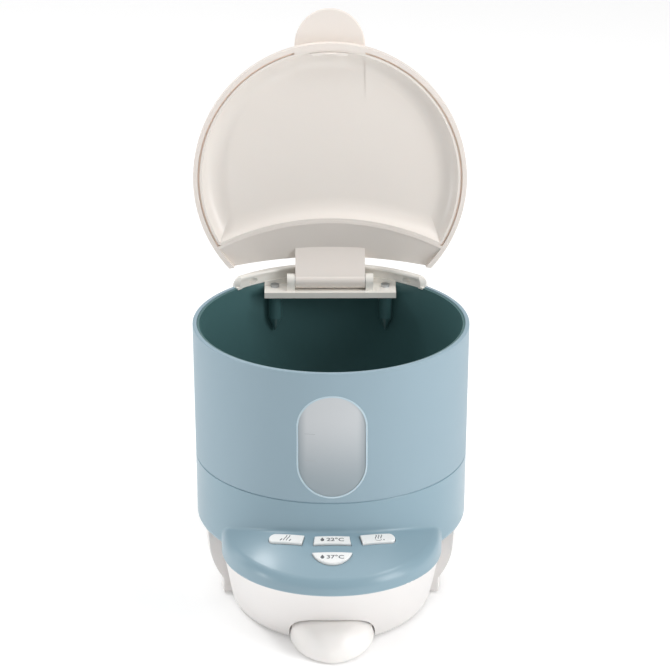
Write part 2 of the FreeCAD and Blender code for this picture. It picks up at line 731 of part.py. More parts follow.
def panel_collar():
    """Lower drum skin in one piece with the control panel, its deck and the long posts."""
    edge = DRUM_EDGE_R
    roll = roll_in(edge)
    wall_foot = drum_radius(DRUM_FOOT_Z + edge)
    seam_r = drum_radius(SEAM_Z)
    body = turned(
        (0, DRUM_FOOT_Z),
        (wall_foot - edge, DRUM_FOOT_Z),
        ((wall_foot - roll, DRUM_FOOT_Z + roll), (wall_foot, DRUM_FOOT_Z + edge)),
        (drum_radius(SEAM_Z - SEAM_CHAMFER), SEAM_Z - SEAM_CHAMFER),
        (seam_r - SEAM_CHAMFER, SEAM_Z),
        (0, SEAM_Z))
    skin = body.fuse(panel_form(0, PANEL_Z)).removeSplitter()
    skin = skin.makeFillet(PANEL_CREASE, crease_edges(skin))
    hem = [edge for edge in skin.Edges if is_hem(edge)]
    skin = skin.makeFillet(PANEL_HEM, hem)
    room = sleeve_form(COLLAR_WALL, DECK_TOP_Z, SEAM_Z)
    skin = skin.cut(room).cut(panel_form(COLLAR_WALL, PANEL_Z - OVER))
    skin = skin.cut(rod(0, 0, DRUM_FOOT_Z - 1, DECK_TOP_Z + 1, DECK_HOLE_R))
    deck = ring(0, 0, DRUM_FOOT_Z, DECK_TOP_Z, DECK_HOLE_R, wall_foot - edge)
    lip_r = seam_r - SLEEVE_WALL - SNUG
    lip = ring(0, 0, SEAM_Z - COLLAR_WALL, SEAM_Z + LIP_H, lip_r - LIP_WALL, lip_r)
    lip = lip.cut(window_form(GASKET_W + SIDE_PLAY))
    collar = joined([skin, deck, lip] + posts(COVER_TOP_Z, DECK_TOP_Z, POST_R))
    for hole in posts(COVER_TOP_Z - 1, DRUM_FOOT_Z, SCREW_R + THREAD_FIT):
        collar = collar.cut(hole)
    for hole in on_circle(LINER_SCREW_ANGLES, LINER_SCREW_CIRCLE_R, 0, FLOOR_Z, SMALL_SCREW_R + HOLE_PLAY):
        collar = collar.cut(hole)
    collar = collar.cut(rod(0, OVERFLOW_FORWARD, 0, FLOOR_Z, OVERFLOW_R + HOLE_PLAY))
    for name in KEY_STEMS:
        collar = collar.cut(in_panel(key_shape(name, KEY_GAP, STEM_END, DOME_R + OVER)))
    for post in control_posts(BOARD_FACE, DOME_R, BOSS_R - 1):
        post = post.common(ball(DOME_R - COLLAR_WALL / 2))
        collar = collar.fuse(in_panel(post))
    for bore in control_posts(BOARD_FACE, BOARD_FACE + SMALL_BORE_L, SMALL_SCREW_R + THREAD_FIT):
        collar = collar.cut(in_panel(bore))
    return collar


def crease_edges(skin):
    """Edges where the panel's dome runs into the drum's wall."""
    found = []
    for edge in skin.Edges:
        middle = edge.valueAt((edge.FirstParameter + edge.LastParameter) / 2)
        on_drum = abs(math.hypot(middle.x, middle.y) - drum_radius(middle.z)) < 0.02
        if on_drum and middle.y < 0 and DRUM_FOOT_Z + DRUM_EDGE_R < middle.z < SEAM_Z - 1:
            if edge.BoundBox.XLength > 3:
                found.append(edge)
    return found


def is_hem(edge):
    box = edge.BoundBox
    return abs(box.ZMin - PANEL_Z) < 0.01 and abs(box.ZMax - PANEL_Z) < 0.01


def chamber_liner():
    """Cup of the steam chamber, on a skirt that stands on the collar's deck."""
    top = RIM_Z - LINER_DROP
    cove = LINER_COVE
    roll = roll_in(cove)
    corner_r = liner_radius(FLOOR_Z + cove)
    foot_r = liner_radius(FLOOR_Z) + LINER_WALL
    cup = turned(
        (PLATE_HOLE_R, FLOOR_UNDER_Z),
        (LINER_SKIRT_R, FLOOR_UNDER_Z),
        (LINER_SKIRT_R, DECK_TOP_Z),
        (LINER_SKIRT_R + LINER_WALL, DECK_TOP_Z),
        (LINER_SKIRT_R + LINER_WALL, FLOOR_UNDER_Z),
        (foot_r, FLOOR_UNDER_Z + (foot_r - LINER_SKIRT_R - LINER_WALL)),
        (liner_radius(top) + LINER_WALL, top),
        (liner_radius(top), top),
        (corner_r, FLOOR_Z + cove),
        ((corner_r - roll, FLOOR_Z + roll), (corner_r - cove, FLOOR_Z)),
        (PLATE_HOLE_R, FLOOR_Z))
    clip_bosses = on_circle(CLIP_ANGLES, CLIP_CIRCLE_R, PLATE_FLANGE_Z, FLOOR_UNDER_Z, BOSS_R)
    deck_bosses = on_circle(LINER_SCREW_ANGLES, LINER_SCREW_CIRCLE_R, DECK_TOP_Z, FLOOR_UNDER_Z, BOSS_R)
    bosses = joined([cup] + clip_bosses + deck_bosses)
    boss_top = SHELF_TOP_Z - SHELF_T
    for side in (-1, 1):
        x = side * HINGE_SCREW_X
        boss = rod(x, -HINGE_SCREW_BACK, boss_top - HINGE_BOSS_L, boss_top, BOSS_R)
        tip_z = boss_top - HINGE_BOSS_L - 2 * BOSS_R
        tip = Part.makeCone(BOSS_TIP_R, BOSS_R, 2 * BOSS_R, at(x, -HINGE_SCREW_BACK, tip_z), UP)
        root = block(x - BOSS_R, x + BOSS_R, -RIM_R, -HINGE_SCREW_BACK, boss_top - HINGE_BOSS_L, boss_top)
        boss = joined([boss, tip, root]).common(liner_form(LINER_WALL / 2, FLOOR_Z, RIM_Z))
        bosses = bosses.fuse(boss)
        bore_z = boss_top - SMALL_BORE_L - 1
        bosses = bosses.cut(rod(x, -HINGE_SCREW_BACK, bore_z, boss_top, SMALL_SCREW_R + THREAD_FIT))
    hole_r = SMALL_SCREW_R + THREAD_FIT
    holes = on_circle(CLIP_ANGLES, CLIP_CIRCLE_R, 0, FLOOR_Z - BOSS_CLOSED, hole_r)
    holes += on_circle(LINER_SCREW_ANGLES, LINER_SCREW_CIRCLE_R, 0, FLOOR_Z - BOSS_CLOSED, hole_r)
    for hole in holes:
        bosses = bosses.cut(hole)
    bosses = bosses.cut(rod(0, OVERFLOW_FORWARD, 0, FLOOR_Z + 1, OVERFLOW_R + SNUG))
    return bosses.cut(window_form(GASKET_W)).cut(bar_notch().fuse(shelf_form(SNUG))).removeSplitter()


def window_pane():
    """Frosted pane, curved like the drum and flush with the chamber inside."""
    z0 = WINDOW_Z - OVER / 4
    z1 = WINDOW_Z + WINDOW_H + OVER / 4
    body = sleeve_form(WINDOW_RECESS, z0, z1).cut(liner_form(SNUG, z0, z1))
    return window_form(-SNUG).common(body)


def window_gasket():
    """Rubber rim between the pane and both walls."""
    z0 = WINDOW_Z - OVER / 4
    z1 = WINDOW_Z + WINDOW_H + OVER / 4
    body = sleeve_form(SNUG, z0, z1).cut(liner_form(0, z0, z1))
    return window_form(GASKET_W - SNUG).cut(window_form(0)).common(body)


# ---- base -----------------------------------------------------------------
def inlet_pad(grow):
    """Flat seat for the mains inlet at the back."""
    half = INLET_W / 2 + INLET_FLANGE + 2 + grow
    tall = INLET_H / 2 + INLET_FLANGE + 2 + grow
    depth = BASE_FOOT_R - BASE_WALL
    return block(-half, half, -INLET_PLANE, -depth - grow, INLET_Z - tall, INLET_Z + tall)


def base_shell():
    """Rear shell of the base, with its end walls and the seat of the inlet."""
    hollow = base_form(BASE_WALL)
    skin = base_form(0).cut(hollow).common(rear_slice())
    walls = [wall.common(base_form(0)).cut(bowl_form(BASE_WALL)) for wall in end_walls()]
    shell = joined([skin, inlet_pad(0)] + walls)
    panel_r = PANEL_R + PANEL_CREASE + SNUG
    shell = shell.cut(rod(0, PANEL_FORWARD, PANEL_Z, DRUM_FOOT_Z + 1, panel_r))
    flange = INLET_FLANGE + SNUG
    half_w = INLET_W / 2
    half_h = INLET_H / 2
    seat_w = half_w + flange
    seat_h = half_h + flange
    shell = shell.cut(block(-seat_w, seat_w, -INLET_PLANE - 1, -INLET_PLANE + INLET_FLANGE_T,
                            INLET_Z - seat_h, INLET_Z + seat_h))
    return shell.cut(block(-half_w - SNUG, half_w + SNUG, -INLET_PLANE - 1, 0,
                           INLET_Z - half_h - SNUG, INLET_Z + half_h + SNUG))


def front_bowl():
    """Front of the base, below the panel, with the door for the drip tray."""
    skin = bowl_form(0).cut(bowl_form(BASE_WALL))
    return skin.cut(rear_slice()).cut(toe_door(TRAY_GAP, 0, RIM_R + OVER))


def bottom_cover():
    """Bottom plate with the tray's rails and the posts of the power board."""
    inset = BASE_WALL + SNUG
    oval = bowl_foot(inset).extrude(FreeCAD.Vector(0, 0, COVER_T))
    disc = rod(0, 0, BASE_LIFT, COVER_TOP_Z, BASE_FOOT_R - inset)
    for wall in end_walls():
        disc = disc.cut(wall)
    plate = disc.common(rear_slice()).fuse(oval.cut(rear_slice()))
    plate = plate.cut(toe_door(TRAY_GAP, TOE_BACK - TRAY_GAP, RIM_R + OVER))
    rail_x = TRAY_W / 2 + TRAY_GAP
    rail = block(rail_x, rail_x + RAIL_T, TRAY_BACK, TOE_BACK - 10, COVER_TOP_Z - 1, COVER_TOP_Z + RAIL_H)
    board_posts = [rod(x, forward, COVER_TOP_Z - 1, BOARD_Z, BOARD_POST_R) for x, forward in board_corners()]
    plate = joined([plate] + both_sides(rail) + board_posts)
    for x, forward in board_corners():
        plate = plate.cut(rod(x, forward, COVER_TOP_Z, BOARD_Z, SMALL_SCREW_R + THREAD_FIT))
    for x, forward in foot_places():
        plate = plate.cut(rod(x, forward, 0, BASE_LIFT + FOOT_PAD_SEAT, FOOT_PAD_R + SNUG))
    for hole in posts(0, COVER_TOP_Z + 1, SCREW_R + HOLE_PLAY):
        plate = plate.cut(hole)
    middle = (SLOT_COUNT - 1) / 2
    for number in range(SLOT_COUNT):
        forward = -BOARD_BACK + BOARD_L / 2 + (number - middle) * SLOT_PITCH
        slot = block(-SLOT_L / 2, SLOT_L / 2, -SLOT_W / 2, SLOT_W / 2, 0, COVER_TOP_Z)
        slot.translate(at(0, forward, 0))
        plate = plate.cut(slot)
    return plate


def foot_places():
    return [(side * x, forward) for x, forward in FOOT_PAD_PLACES for side in (-1, 1)]


def rubber_feet():
    top = BASE_LIFT + FOOT_PAD_SEAT
    feet = [rod(x, forward, 0, top, FOOT_PAD_R) for x, forward in foot_places()]
    rounded = []
    for foot in feet:
        lower = [edge for edge in foot.Edges if edge.BoundBox.ZMax < FOOT_PAD_ROUND]
        rounded.append(foot.makeFillet(FOOT_PAD_ROUND, lower))
    return rounded


def cover_screws():
    """Long screws from below, through the bottom plate into the collar's posts."""
    screws = []
    for angle in POST_ANGLES:
        x, forward = around(angle, POST_CIRCLE_R)
        length = COVER_T + SCREW_GRIP
        screws += both_sides(screw(x, forward, BASE_LIFT, length, SCREW_R, SCREW_HEAD_R, SCREW_HEAD_H))
    return screws


# ---- drip tray ------------------------------------------------------------
def drip_tray():
    """Shallow tray in one piece with the toe that closes the bowl's door."""
    tray_z = COVER_TOP_Z + TRAY_GAP
    half = TRAY_W / 2
    box = block(-half, half, TRAY_BACK, TOE_BACK + 4, tray_z, tray_z + TRAY_H)
    behind = block(-half - OVER, half + OVER, 0, TOE_BACK, 0, tray_z)
    tray = joined([box, toe().cut(behind)])
    inner = half - TRAY_WALL
    hollow = block(-inner, inner, TRAY_BACK + TRAY_WALL, TOE_BACK - TRAY_WALL,
                   tray_z + TRAY_WALL, tray_z + TRAY_H + OVER)
    corners = [edge for edge in hollow.Edges if edge.BoundBox.ZLength > TRAY_H]
    hollow = hollow.makeFillet(TRAY_CORNER_R, corners)
    return tray.cut(hollow)


def toe():
    """Tongue whose arched sections shrink towards its round tip."""
    start = TOE_TIP - TOE_NOSE_L
    crown_start = TOE_TIP - TOE_CROWN_L
    drop = TOE_TOP - TOE_TIP_H
    end = TOE_TIP - TOE_TIP_STEP
    sections = []
    for step in range(TOE_SECTIONS):
        share = math.sin(math.pi / 2 * step / (TOE_SECTIONS - 1))
        forward = start + (end - start) * share
        half = TOE_W / 2 * math.sqrt(1 - ((forward - start) / TOE_NOSE_L) ** 2)
        bent = max(0, forward - crown_start) / TOE_CROWN_L
        top = TOE_TIP_H + drop * math.sqrt(1 - bent ** 2)
        arch = toe_curve(forward, half, top - TOE_WAIST, TOE_WAIST, ARCH_STEPS)
        sole = toe_curve(forward, half, TOE_LIFT - TOE_WAIST, TOE_WAIST, ARCH_STEPS)
        sections.append(Part.Wire([arch, sole]))
    return Part.makeLoft(sections, True)


# ---- hinge ----------------------------------------------------------------
def block_bar():
    """Curved bar set into the rear rim."""
    low = RIM_Z - BLOCK_DEPTH
    high = RIM_Z + BLOCK_RISE
    outer = drum_radius(RIM_Z)
    rounded = BLOCK_ROUND
    roll = roll_in(rounded)
    bar = turned((BLOCK_R, low), (drum_radius(low), low), (outer, high - rounded),
                 ((outer - roll, high - roll), (outer - rounded, high)),
                 (BLOCK_R + rounded, high), ((BLOCK_R + roll, high - roll), (BLOCK_R, high - rounded)))
    return bar.common(wedge(BLOCK_WRAP, low, high))


def bar_notch():
    """What the bar takes out of the rear rim, with its clearance."""
    low = RIM_Z - BLOCK_DEPTH - SNUG
    notch = ring(0, 0, low, RIM_Z + OVER, BLOCK_R - SNUG, RIM_R + OVER)
    return notch.common(wedge(BLOCK_WRAP + math.degrees(SNUG / RIM_R), low, RIM_Z + OVER))


def shelf_form(grow):
    """Shelf below the pin, from behind the chamber's wall forwards."""
    low = SHELF_TOP_Z - SHELF_T - grow
    high = RIM_Z - BLOCK_DEPTH / 2
    half = SHELF_HALF_W + grow
    return block(-half, half, -RIM_R, SHELF_REACH - HINGE_BACK, low, high)


def cut_edge(grow):
    """Everything behind the lid's rear edge, grown forward."""
    corner = CUT_X
    back = -CUT_BACK + grow
    far = RIM_R + OVER

    def place(x, forward):
        return at(x, forward, RIM_Z - OVER)

    face = outline(place, (-far, back), (-corner, back), ((0, back + CUT_SAG), (corner, back)),
                   (far, back), (far, -far), (-far, -far))
    return face.extrude(FreeCAD.Vector(0, 0, 2 * OVER + LID_H))


def swing_room():
    """Round-ended space above the rim that the shut lid's rear edge sweeps clear of."""
    near = SHELF_HALF_W
    far = RIM_R
    cones = []
    for side in (-1, 1):
        radii = [HINGE_BACK - cut_place(x) - 2 * LID_GAP for x in (near, CUT_X)]
        slope = (radii[1] - radii[0]) / (CUT_X - near)
        far_radius = radii[0] + slope * (far - near)
        start = at(side * near, -HINGE_BACK, HINGE_Z)
        cones.append(Part.makeCone(radii[0], far_radius, far - near, start, SIDEWAYS * side))
    room = block(-RIM_R, RIM_R, -HINGE_BACK, 0, RIM_Z - SNUG, RIM_Z + OVER)
    return room.cut(cones[0]).cut(cones[1])


def cut_place(x):
    """How far behind the drum's axis the lid's rear edge lies at x."""
    radius = chord_radius(CUT_X, CUT_SAG)
    return CUT_BACK - CUT_SAG + radius - math.sqrt(radius ** 2 - x ** 2)


def hinge_block():
    """Curved bar with the shelf and the two ears that hold the pin."""
    low = RIM_Z - BLOCK_DEPTH
    top = RIM_Z + BLOCK_RISE
    bar = block_bar().common(block_arch(top)).cut(swing_room())
    field_wrap = BLOCK_WRAP - math.degrees(2 * BLOCK_LIP / RIM_R)
    field = ring(0, 0, low - 1, top - BLOCK_LIP, BLOCK_R - 1, BLOCK_R + BLOCK_HOLLOW)
    bar = bar.cut(field.common(wedge(field_wrap, 0, top)))
    shelf = shelf_form(0).common(sleeve_form(SLEEVE_WALL + SNUG, SHELF_TOP_Z - SHELF_T, RIM_Z))
    shelf = shelf.cut(rod(0, 0, SHELF_TOP_Z, RIM_Z, BLOCK_R))
    sleeve_r = drum_radius(SHELF_TOP_Z - 1) - SLEEVE_WALL - SNUG
    ears = joined(both_sides(hinge_ear())).cut(ring(0, 0, 0, low, sleeve_r, RIM_R + OVER))
    whole = joined([bar, shelf, ears])
    bore_start = at(-RIM_R, -HINGE_BACK, HINGE_Z)
    whole = whole.cut(Part.makeCylinder(PIN_R + THREAD_FIT, 2 * RIM_R, bore_start, SIDEWAYS))
    for side in (-1, 1):
        whole = whole.cut(rod(side * HINGE_SCREW_X, -HINGE_SCREW_BACK, 0, RIM_Z, SMALL_SCREW_R + HOLE_PLAY))
    return whole


def block_arch(top):
    """Round-cornered outline of the bar, seen from behind."""
    far = drum_radius(RIM_Z) * math.sin(math.radians(BLOCK_WRAP))
    bend = BLOCK_END_R
    roll = roll_in(bend)
    left_corner = ((roll - far, top - roll), (bend - far, top))
    right_corner = ((far - roll, top - roll), (far, top - bend))
    face = outline(lambda x, z: at(x, -RIM_R - 1, z), (-far, top - bend), left_corner, (far - bend, top),
                   right_corner, (far, 0), (-far, 0))
    return face.extrude(at(0, RIM_R, 0))


def hinge_ear():
    """Round-topped ear on the shelf, with a rib back to the bar."""
    x = ARM_W / 2 + SIDE_PLAY
    foot_z = SHELF_TOP_Z - 1
    back = -HINGE_BACK - BARREL_R
    ear = Part.makeCylinder(BARREL_R, EAR_T, at(x, -HINGE_BACK, HINGE_Z), SIDEWAYS)
    stand = block(x, x + EAR_T, back, -HINGE_BACK + BARREL_R, foot_z, HINGE_Z)
    rear = -BLOCK_R - BLOCK_HOLLOW - SNUG
    rib = outline(lambda forward, z: at(x, forward, z), (back + 1, foot_z), (back + 1, HINGE_Z),
                  (rear, RIM_Z), (rear, foot_z))
    return joined([ear, stand, rib.extrude(SIDEWAYS * EAR_T)])


def hinge_pin():
    length = ARM_W + 2 * (SIDE_PLAY + EAR_T)
    return Part.makeCylinder(PIN_R, length, at(-length / 2, -HINGE_BACK, HINGE_Z), SIDEWAYS)


def hinge_screws():
    """Screws from above, through the shelf into the chamber's bosses."""
    length = SHELF_T + SMALL_BORE_L
    return [small_screw(side * HINGE_SCREW_X, -HINGE_SCREW_BACK, SHELF_TOP_Z, length, -1) for side in (-1, 1)]


# ---- lid, drawn shut and then swung open ----------------------------------
def swung_open(shape):
    opened = shape.copy()
    opened.rotate(at(0, -HINGE_BACK, HINGE_Z), SIDEWAYS, -LID_OPEN)
    return opened


ARCH_SAG = ARCH_END_BACK - ARCH_BACK
ARCH_R = chord_radius(ARCH_END_X, ARCH_SAG)
ARCH_CENTRE = -ARCH_BACK - ARCH_R


def in_front_of_arch(shift):
    """Region in front of the arched rib; a positive shift moves its edge forward."""
    far = 2 * RIM_R
    slab = block(-far, far, -far, far, LID_Z - OVER, LID_TOP_Z + OVER)
    return slab.cut(rod(0, ARCH_CENTRE, LID_Z - OVER, LID_TOP_Z + OVER, ARCH_R + shift))


def latch_field(grow):
    """Straight-sided place under the tab where the groove is interrupted."""
    half = TAB_W / 2 + grow
    return block(-half, half, RIM_R / 2, RIM_R + OVER, LID_Z - 1, PLATE_UNDER_Z)


def lid_shell():
    """Outer lid: plate, skirt, tab, the ramp behind the rib and the hinge arm."""
    roll = roll_in(LID_ROUND)
    body = turned((0, LID_Z), (LID_R, LID_Z), (LID_R, LID_TOP_Z - LID_ROUND),
                  ((LID_R - roll, LID_TOP_Z - roll), (LID_R - LID_ROUND, LID_TOP_Z)), (0, LID_TOP_Z))
    body = body.fuse(lid_tab())
    pocket = rod(0, 0, LID_Z - 1, PLATE_UNDER_Z, SEAL_R).cut(latch_field(0))
    pocket = pocket.fuse(rod(0, 0, LID_Z - 1, PLATE_UNDER_Z, SEAL_R - SEAL_W + SNUG))
    body = body.cut(pocket.common(in_front_of_arch(-SNUG)))
    ramp_start = ARCH_R - RIB_T
    ramp_end = ARCH_R - (CUT_BACK - CUT_SAG - ARCH_BACK)
    low = LID_Z + COVE_EDGE
    ramp = Part.makeCone(ramp_start, ramp_end, PLATE_UNDER_Z - low, at(0, ARCH_CENTRE, low), UP)
    ramp = ramp.fuse(rod(0, ARCH_CENTRE, LID_Z - 1, low, ramp_start))
    body = body.cut(ramp.common(rod(0, 0, LID_Z - 1, LID_TOP_Z, SEAL_R)))
    body = body.cut(cut_edge(0))
    body = joined([body, hinge_arm()])
    bore = Part.makeCylinder(PIN_R + RUNNING, 2 * ARM_W, at(-ARM_W, -HINGE_BACK, HINGE_Z), SIDEWAYS)
    return body.cut(bore)


def lid_tab():
    """Half-round thumb tab, flush with the lid's top."""
    half = TAB_W / 2
    reach = TAB_L + TAB_ROOT
    nose = oval_face(TAB_REACH - reach, LID_TOP_Z - TAB_T, reach, half)
    tab = nose.extrude(FreeCAD.Vector(0, 0, TAB_T))
    inner_end = TAB_REACH - reach - LID_COVE_W
    tab = tab.fuse(block(-half, half, inner_end, TAB_REACH - reach, LID_TOP_Z - TAB_T, LID_TOP_Z))
    tab = tab.removeSplitter()
    flat = [edge for edge in tab.Edges if edge.BoundBox.ZLength < 0.01]
    outer = [edge for edge in flat if edge.BoundBox.YMin < -LID_R - TAB_L / 2]
    return tab.makeFillet(TAB_ROUND, outer)


def hinge_arm():
    """Arm from the lid's plate to the barrel round the pin."""
    top = HINGE_Z + BARREL_R
    slant = BARREL_R * math.sqrt(0.5)
    edge = CUT_SAG - CUT_BACK
    root = edge + ARM_ROOT_L
    profile = outline(lambda forward, z: at(-ARM_W / 2, forward, z),
                      (-HINGE_BACK, top), (edge - ARM_T, LID_TOP_Z), (root, LID_TOP_Z),
                      (root, PLATE_UNDER_Z - ARM_T / 2), (root - ARM_T, PLATE_UNDER_Z - ARM_T),
                      (-HINGE_BACK + slant, HINGE_Z - slant), (-HINGE_BACK, HINGE_Z))
    barrel = Part.makeCylinder(BARREL_R, ARM_W, at(-ARM_W / 2, -HINGE_BACK, HINGE_Z), SIDEWAYS)
    return joined([profile.extrude(SIDEWAYS * ARM_W), barrel])


def lid_dish(inset, z0, z1):
    """The lid liner's plan, shrunk by inset, as a block between two heights."""
    disc = rod(0, 0, z0, z1, SEAL_R - SEAL_W - inset)
    dish = disc.common(in_front_of_arch(inset))
    upright = [edge for edge in dish.Edges if edge.BoundBox.ZLength > (z1 - z0) / 2]
    corners = [edge for edge in upright if edge.BoundBox.XLength < 0.01 and edge.BoundBox.YMax > 0]
    return dish.makeFillet(ARCH_CORNER_R, corners)


def lid_liner():
    """Inner dish of the lid, with its bright rim and the shallow field under the tab."""
    dish = lid_dish(0, LID_Z + LINER_EDGE, PLATE_UNDER_Z)
    dish = dish.cut(lid_recess())
    half = TAB_W / 2
    floor = PLATE_UNDER_Z - LID_LINER_T
    field = lid_recess()
    field.rotate(at(0, GRIP_END, floor), SIDEWAYS, -GRIP_SLOPE)
    field = field.common(block(-half, half, GRIP_END, RIM_R, LID_Z, PLATE_UNDER_Z))
    return dish.cut(field)


def lid_recess():
    """Hollow of the inner dish; a wide curve runs down to its floor on every side."""
    round_wall = SEAL_R - SEAL_W - LID_RING
    arch_wall = ARCH_R + LID_RING
    within = recess_face(round_wall, -1, 0).revolve(FreeCAD.Vector(), UP, 360)
    beyond = recess_face(arch_wall, 1, ARCH_R + 2 * RIM_R)
    beyond.translate(at(0, ARCH_CENTRE, 0))
    return within.common(beyond.revolve(at(0, ARCH_CENTRE, 0), UP, 360))


def recess_face(wall, way, end):
    """Section of the hollow from its wall to end; way is +1 outwards, -1 inwards."""
    low = LID_Z + LINER_EDGE
    floor = PLATE_UNDER_Z - LID_LINER_T
    radius = chord_radius(LID_COVE_W, floor - low)
    half_turn = math.asin(LID_COVE_W / radius) / 2
    curve_end = wall + way * LID_COVE_W
    middle = (curve_end - way * radius * math.sin(half_turn), floor - radius * (1 - math.cos(half_turn)))
    curve = (middle, (curve_end, floor))
    return outline(radial, (wall, low - 1), (wall, low), curve, (end, floor), (end, low - 1))


def lid_seal():
    """Seal in the groove between the skirt and the liner's rim."""
    low = LID_Z + SEAL_RECESS
    seal = ring(0, 0, low, low + SEAL_H, SEAL_R - SEAL_W + SNUG, SEAL_R - SNUG)
    seal = seal.cut(latch_field(SNUG))
    return seal.common(in_front_of_arch(0))


def lid_latch():
    """Springy catch inside the lid's front edge, with slanted ends and a small oval pip."""
    outer = SEAL_R - SEAL_W - LID_RING - SNUG
    inner = outer - LATCH_T
    low = LID_Z - LATCH_DROP
    half = LATCH_W / 2
    wide = half + LATCH_SLANT
    plan = outline(lambda x, forward: at(x, forward, low), (-half, inner - 3), (half, inner - 3),
                   (half, inner), (wide, outer), (wide, RIM_R), (-wide, RIM_R), (-wide, outer),
                   (-half, inner))
    body = plan.extrude(UP * (PLATE_UNDER_Z - low)).common(ring(0, 0, low, PLATE_UNDER_Z, inner, outer))
    pip = Part.makeSphere(1.0)
    squash = FreeCAD.Matrix()
    squash.scale(FreeCAD.Vector(LATCH_PIP_W / 2, LATCH_PIP_D / 2, LATCH_PIP_H))
    pip = pip.transformGeometry(squash)
    pip.translate(at(0, outer - LATCH_T / 2, low))
    return body.fuse(pip).cut(lid_liner())


# ---- heater ---------------------------------------------------------------
def heating_plate():
    """Cast plate whose raised middle closes the hole in the chamber's floor."""
    raised = PLATE_HOLE_R - PLATE_SEAL_LIP - SNUG
    top = FLOOR_Z - PLATE_DIP
    return turned((0, PLATE_FLANGE_Z), (PLATE_FLANGE_R, PLATE_FLANGE_Z),
                  (PLATE_FLANGE_R, PLATE_FLANGE_TOP_Z), (raised, PLATE_FLANGE_TOP_Z),
                  (raised, top - PLATE_EDGE), (raised - PLATE_EDGE, top), (0, top))


def plate_seal():
    """Silicone ring of L section under the chamber's floor."""
    lip = PLATE_HOLE_R - PLATE_SEAL_LIP
    lip_z = FLOOR_Z - HOLE_PLAY
    hole = PLATE_HOLE_R - SNUG
    return turned((lip, PLATE_FLANGE_TOP_Z), (PLATE_FLANGE_R, PLATE_FLANGE_TOP_Z),
                  (PLATE_FLANGE_R, FLOOR_UNDER_Z), (hole, FLOOR_UNDER_Z), (hole, lip_z), (lip, lip_z))


def heating_element():
    """Sheathed ring under the plate, with two legs at the back."""
    middle_z = PLATE_FLANGE_Z - ELEMENT_TUBE_R
    tube = Part.makeTorus(ELEMENT_R, ELEMENT_TUBE_R, at(0, 0, middle_z), UP)
    tube = tube.cut(wedge(ELEMENT_GAP / 2, middle_z - OVER, middle_z + OVER))
    legs = [rod(x, forward, middle_z - ELEMENT_LEG_L, middle_z, ELEMENT_LEG_R) for x, forward in leg_places()]
    return joined([tube] + legs)


def leg_places():
    return [around(180 - side * (ELEMENT_GAP / 2 + 5), ELEMENT_R) for side in (-1, 1)]


def plate_clips():
    """Spring-steel clips that press the plate up against its seal."""
    clips = []
    for angle in CLIP_ANGLES:
        clip_end = CLIP_CIRCLE_R + CLIP_W / 2
        clip = block(-CLIP_W / 2, CLIP_W / 2, PLATE_HOLE_R, clip_end, CLIP_Z, PLATE_FLANGE_Z)
        clip = clip.cut(rod(0, CLIP_CIRCLE_R, 0, FLOOR_Z, SMALL_SCREW_R + HOLE_PLAY))
        clip.rotate(FreeCAD.Vector(), UP, angle)
        clips.append(clip)
    return clips


def clip_screws():
    screws = []
    for angle in CLIP_ANGLES:
        clip_screw = small_screw(0, CLIP_CIRCLE_R, CLIP_Z, CLIP_T + CLIP_GRIP)
        clip_screw.rotate(FreeCAD.Vector(), UP, angle)
        screws.append(clip_screw)
    return screws


def liner_screws():
    """Screws from below, through the collar's deck into the chamber's bosses."""
    places = [around(angle, LINER_SCREW_CIRCLE_R) for angle in LINER_SCREW_ANGLES]
    return [small_screw(x, forward, DRUM_FOOT_Z, DECK_T + SMALL_GRIP) for x, forward in places]


def temperature_probe():
    body = rod(0, 0, PLATE_FLANGE_Z - PROBE_L, PLATE_FLANGE_Z, PROBE_R)
    collar = rod(0, 0, PLATE_FLANGE_Z - PROBE_FLANGE, PLATE_FLANGE_Z, PROBE_R + PROBE_FLANGE)
    return body.fuse(collar).removeSplitter()


def thermal_fuse():
    half_l = FUSE_L / 2
    half_w = FUSE_W / 2
    return block(FUSE_X - half_w, FUSE_X + half_w, -half_l, half_l, PLATE_FLANGE_Z - FUSE_H, PLATE_FLANGE_Z)


def overflow_pipe():
    """Stand pipe that keeps the water shallow and spills the rest into the tray."""
    pipe = ring(0, OVERFLOW_FORWARD, OVERFLOW_END_Z, FLOOR_Z + OVERFLOW_RISE, OVERFLOW_BORE_R, OVERFLOW_R)
    flange_top = FLOOR_Z + OVERFLOW_FLANGE_T
    flange = ring(0, OVERFLOW_FORWARD, FLOOR_Z, flange_top, OVERFLOW_BORE_R, OVERFLOW_FLANGE_R)
    return pipe.fuse(flange).removeSplitter()


# ---- electrics ------------------------------------------------------------
def board_corners():
    x = BOARD_W / 2 - BOARD_POST_INSET
    back = -BOARD_BACK + BOARD_POST_INSET
    front = back + BOARD_L - 2 * BOARD_POST_INSET
    return [(side * x, forward) for forward in (back, front) for side in (-1, 1)]


def power_board():
    board = block(-BOARD_W / 2, BOARD_W / 2, -BOARD_BACK, BOARD_L - BOARD_BACK, BOARD_Z, BOARD_Z + BOARD_T)
    for x, forward in board_corners():
        board = board.cut(rod(x, forward, 0, BOARD_Z + OVER, SMALL_SCREW_R + HOLE_PLAY))
    return board


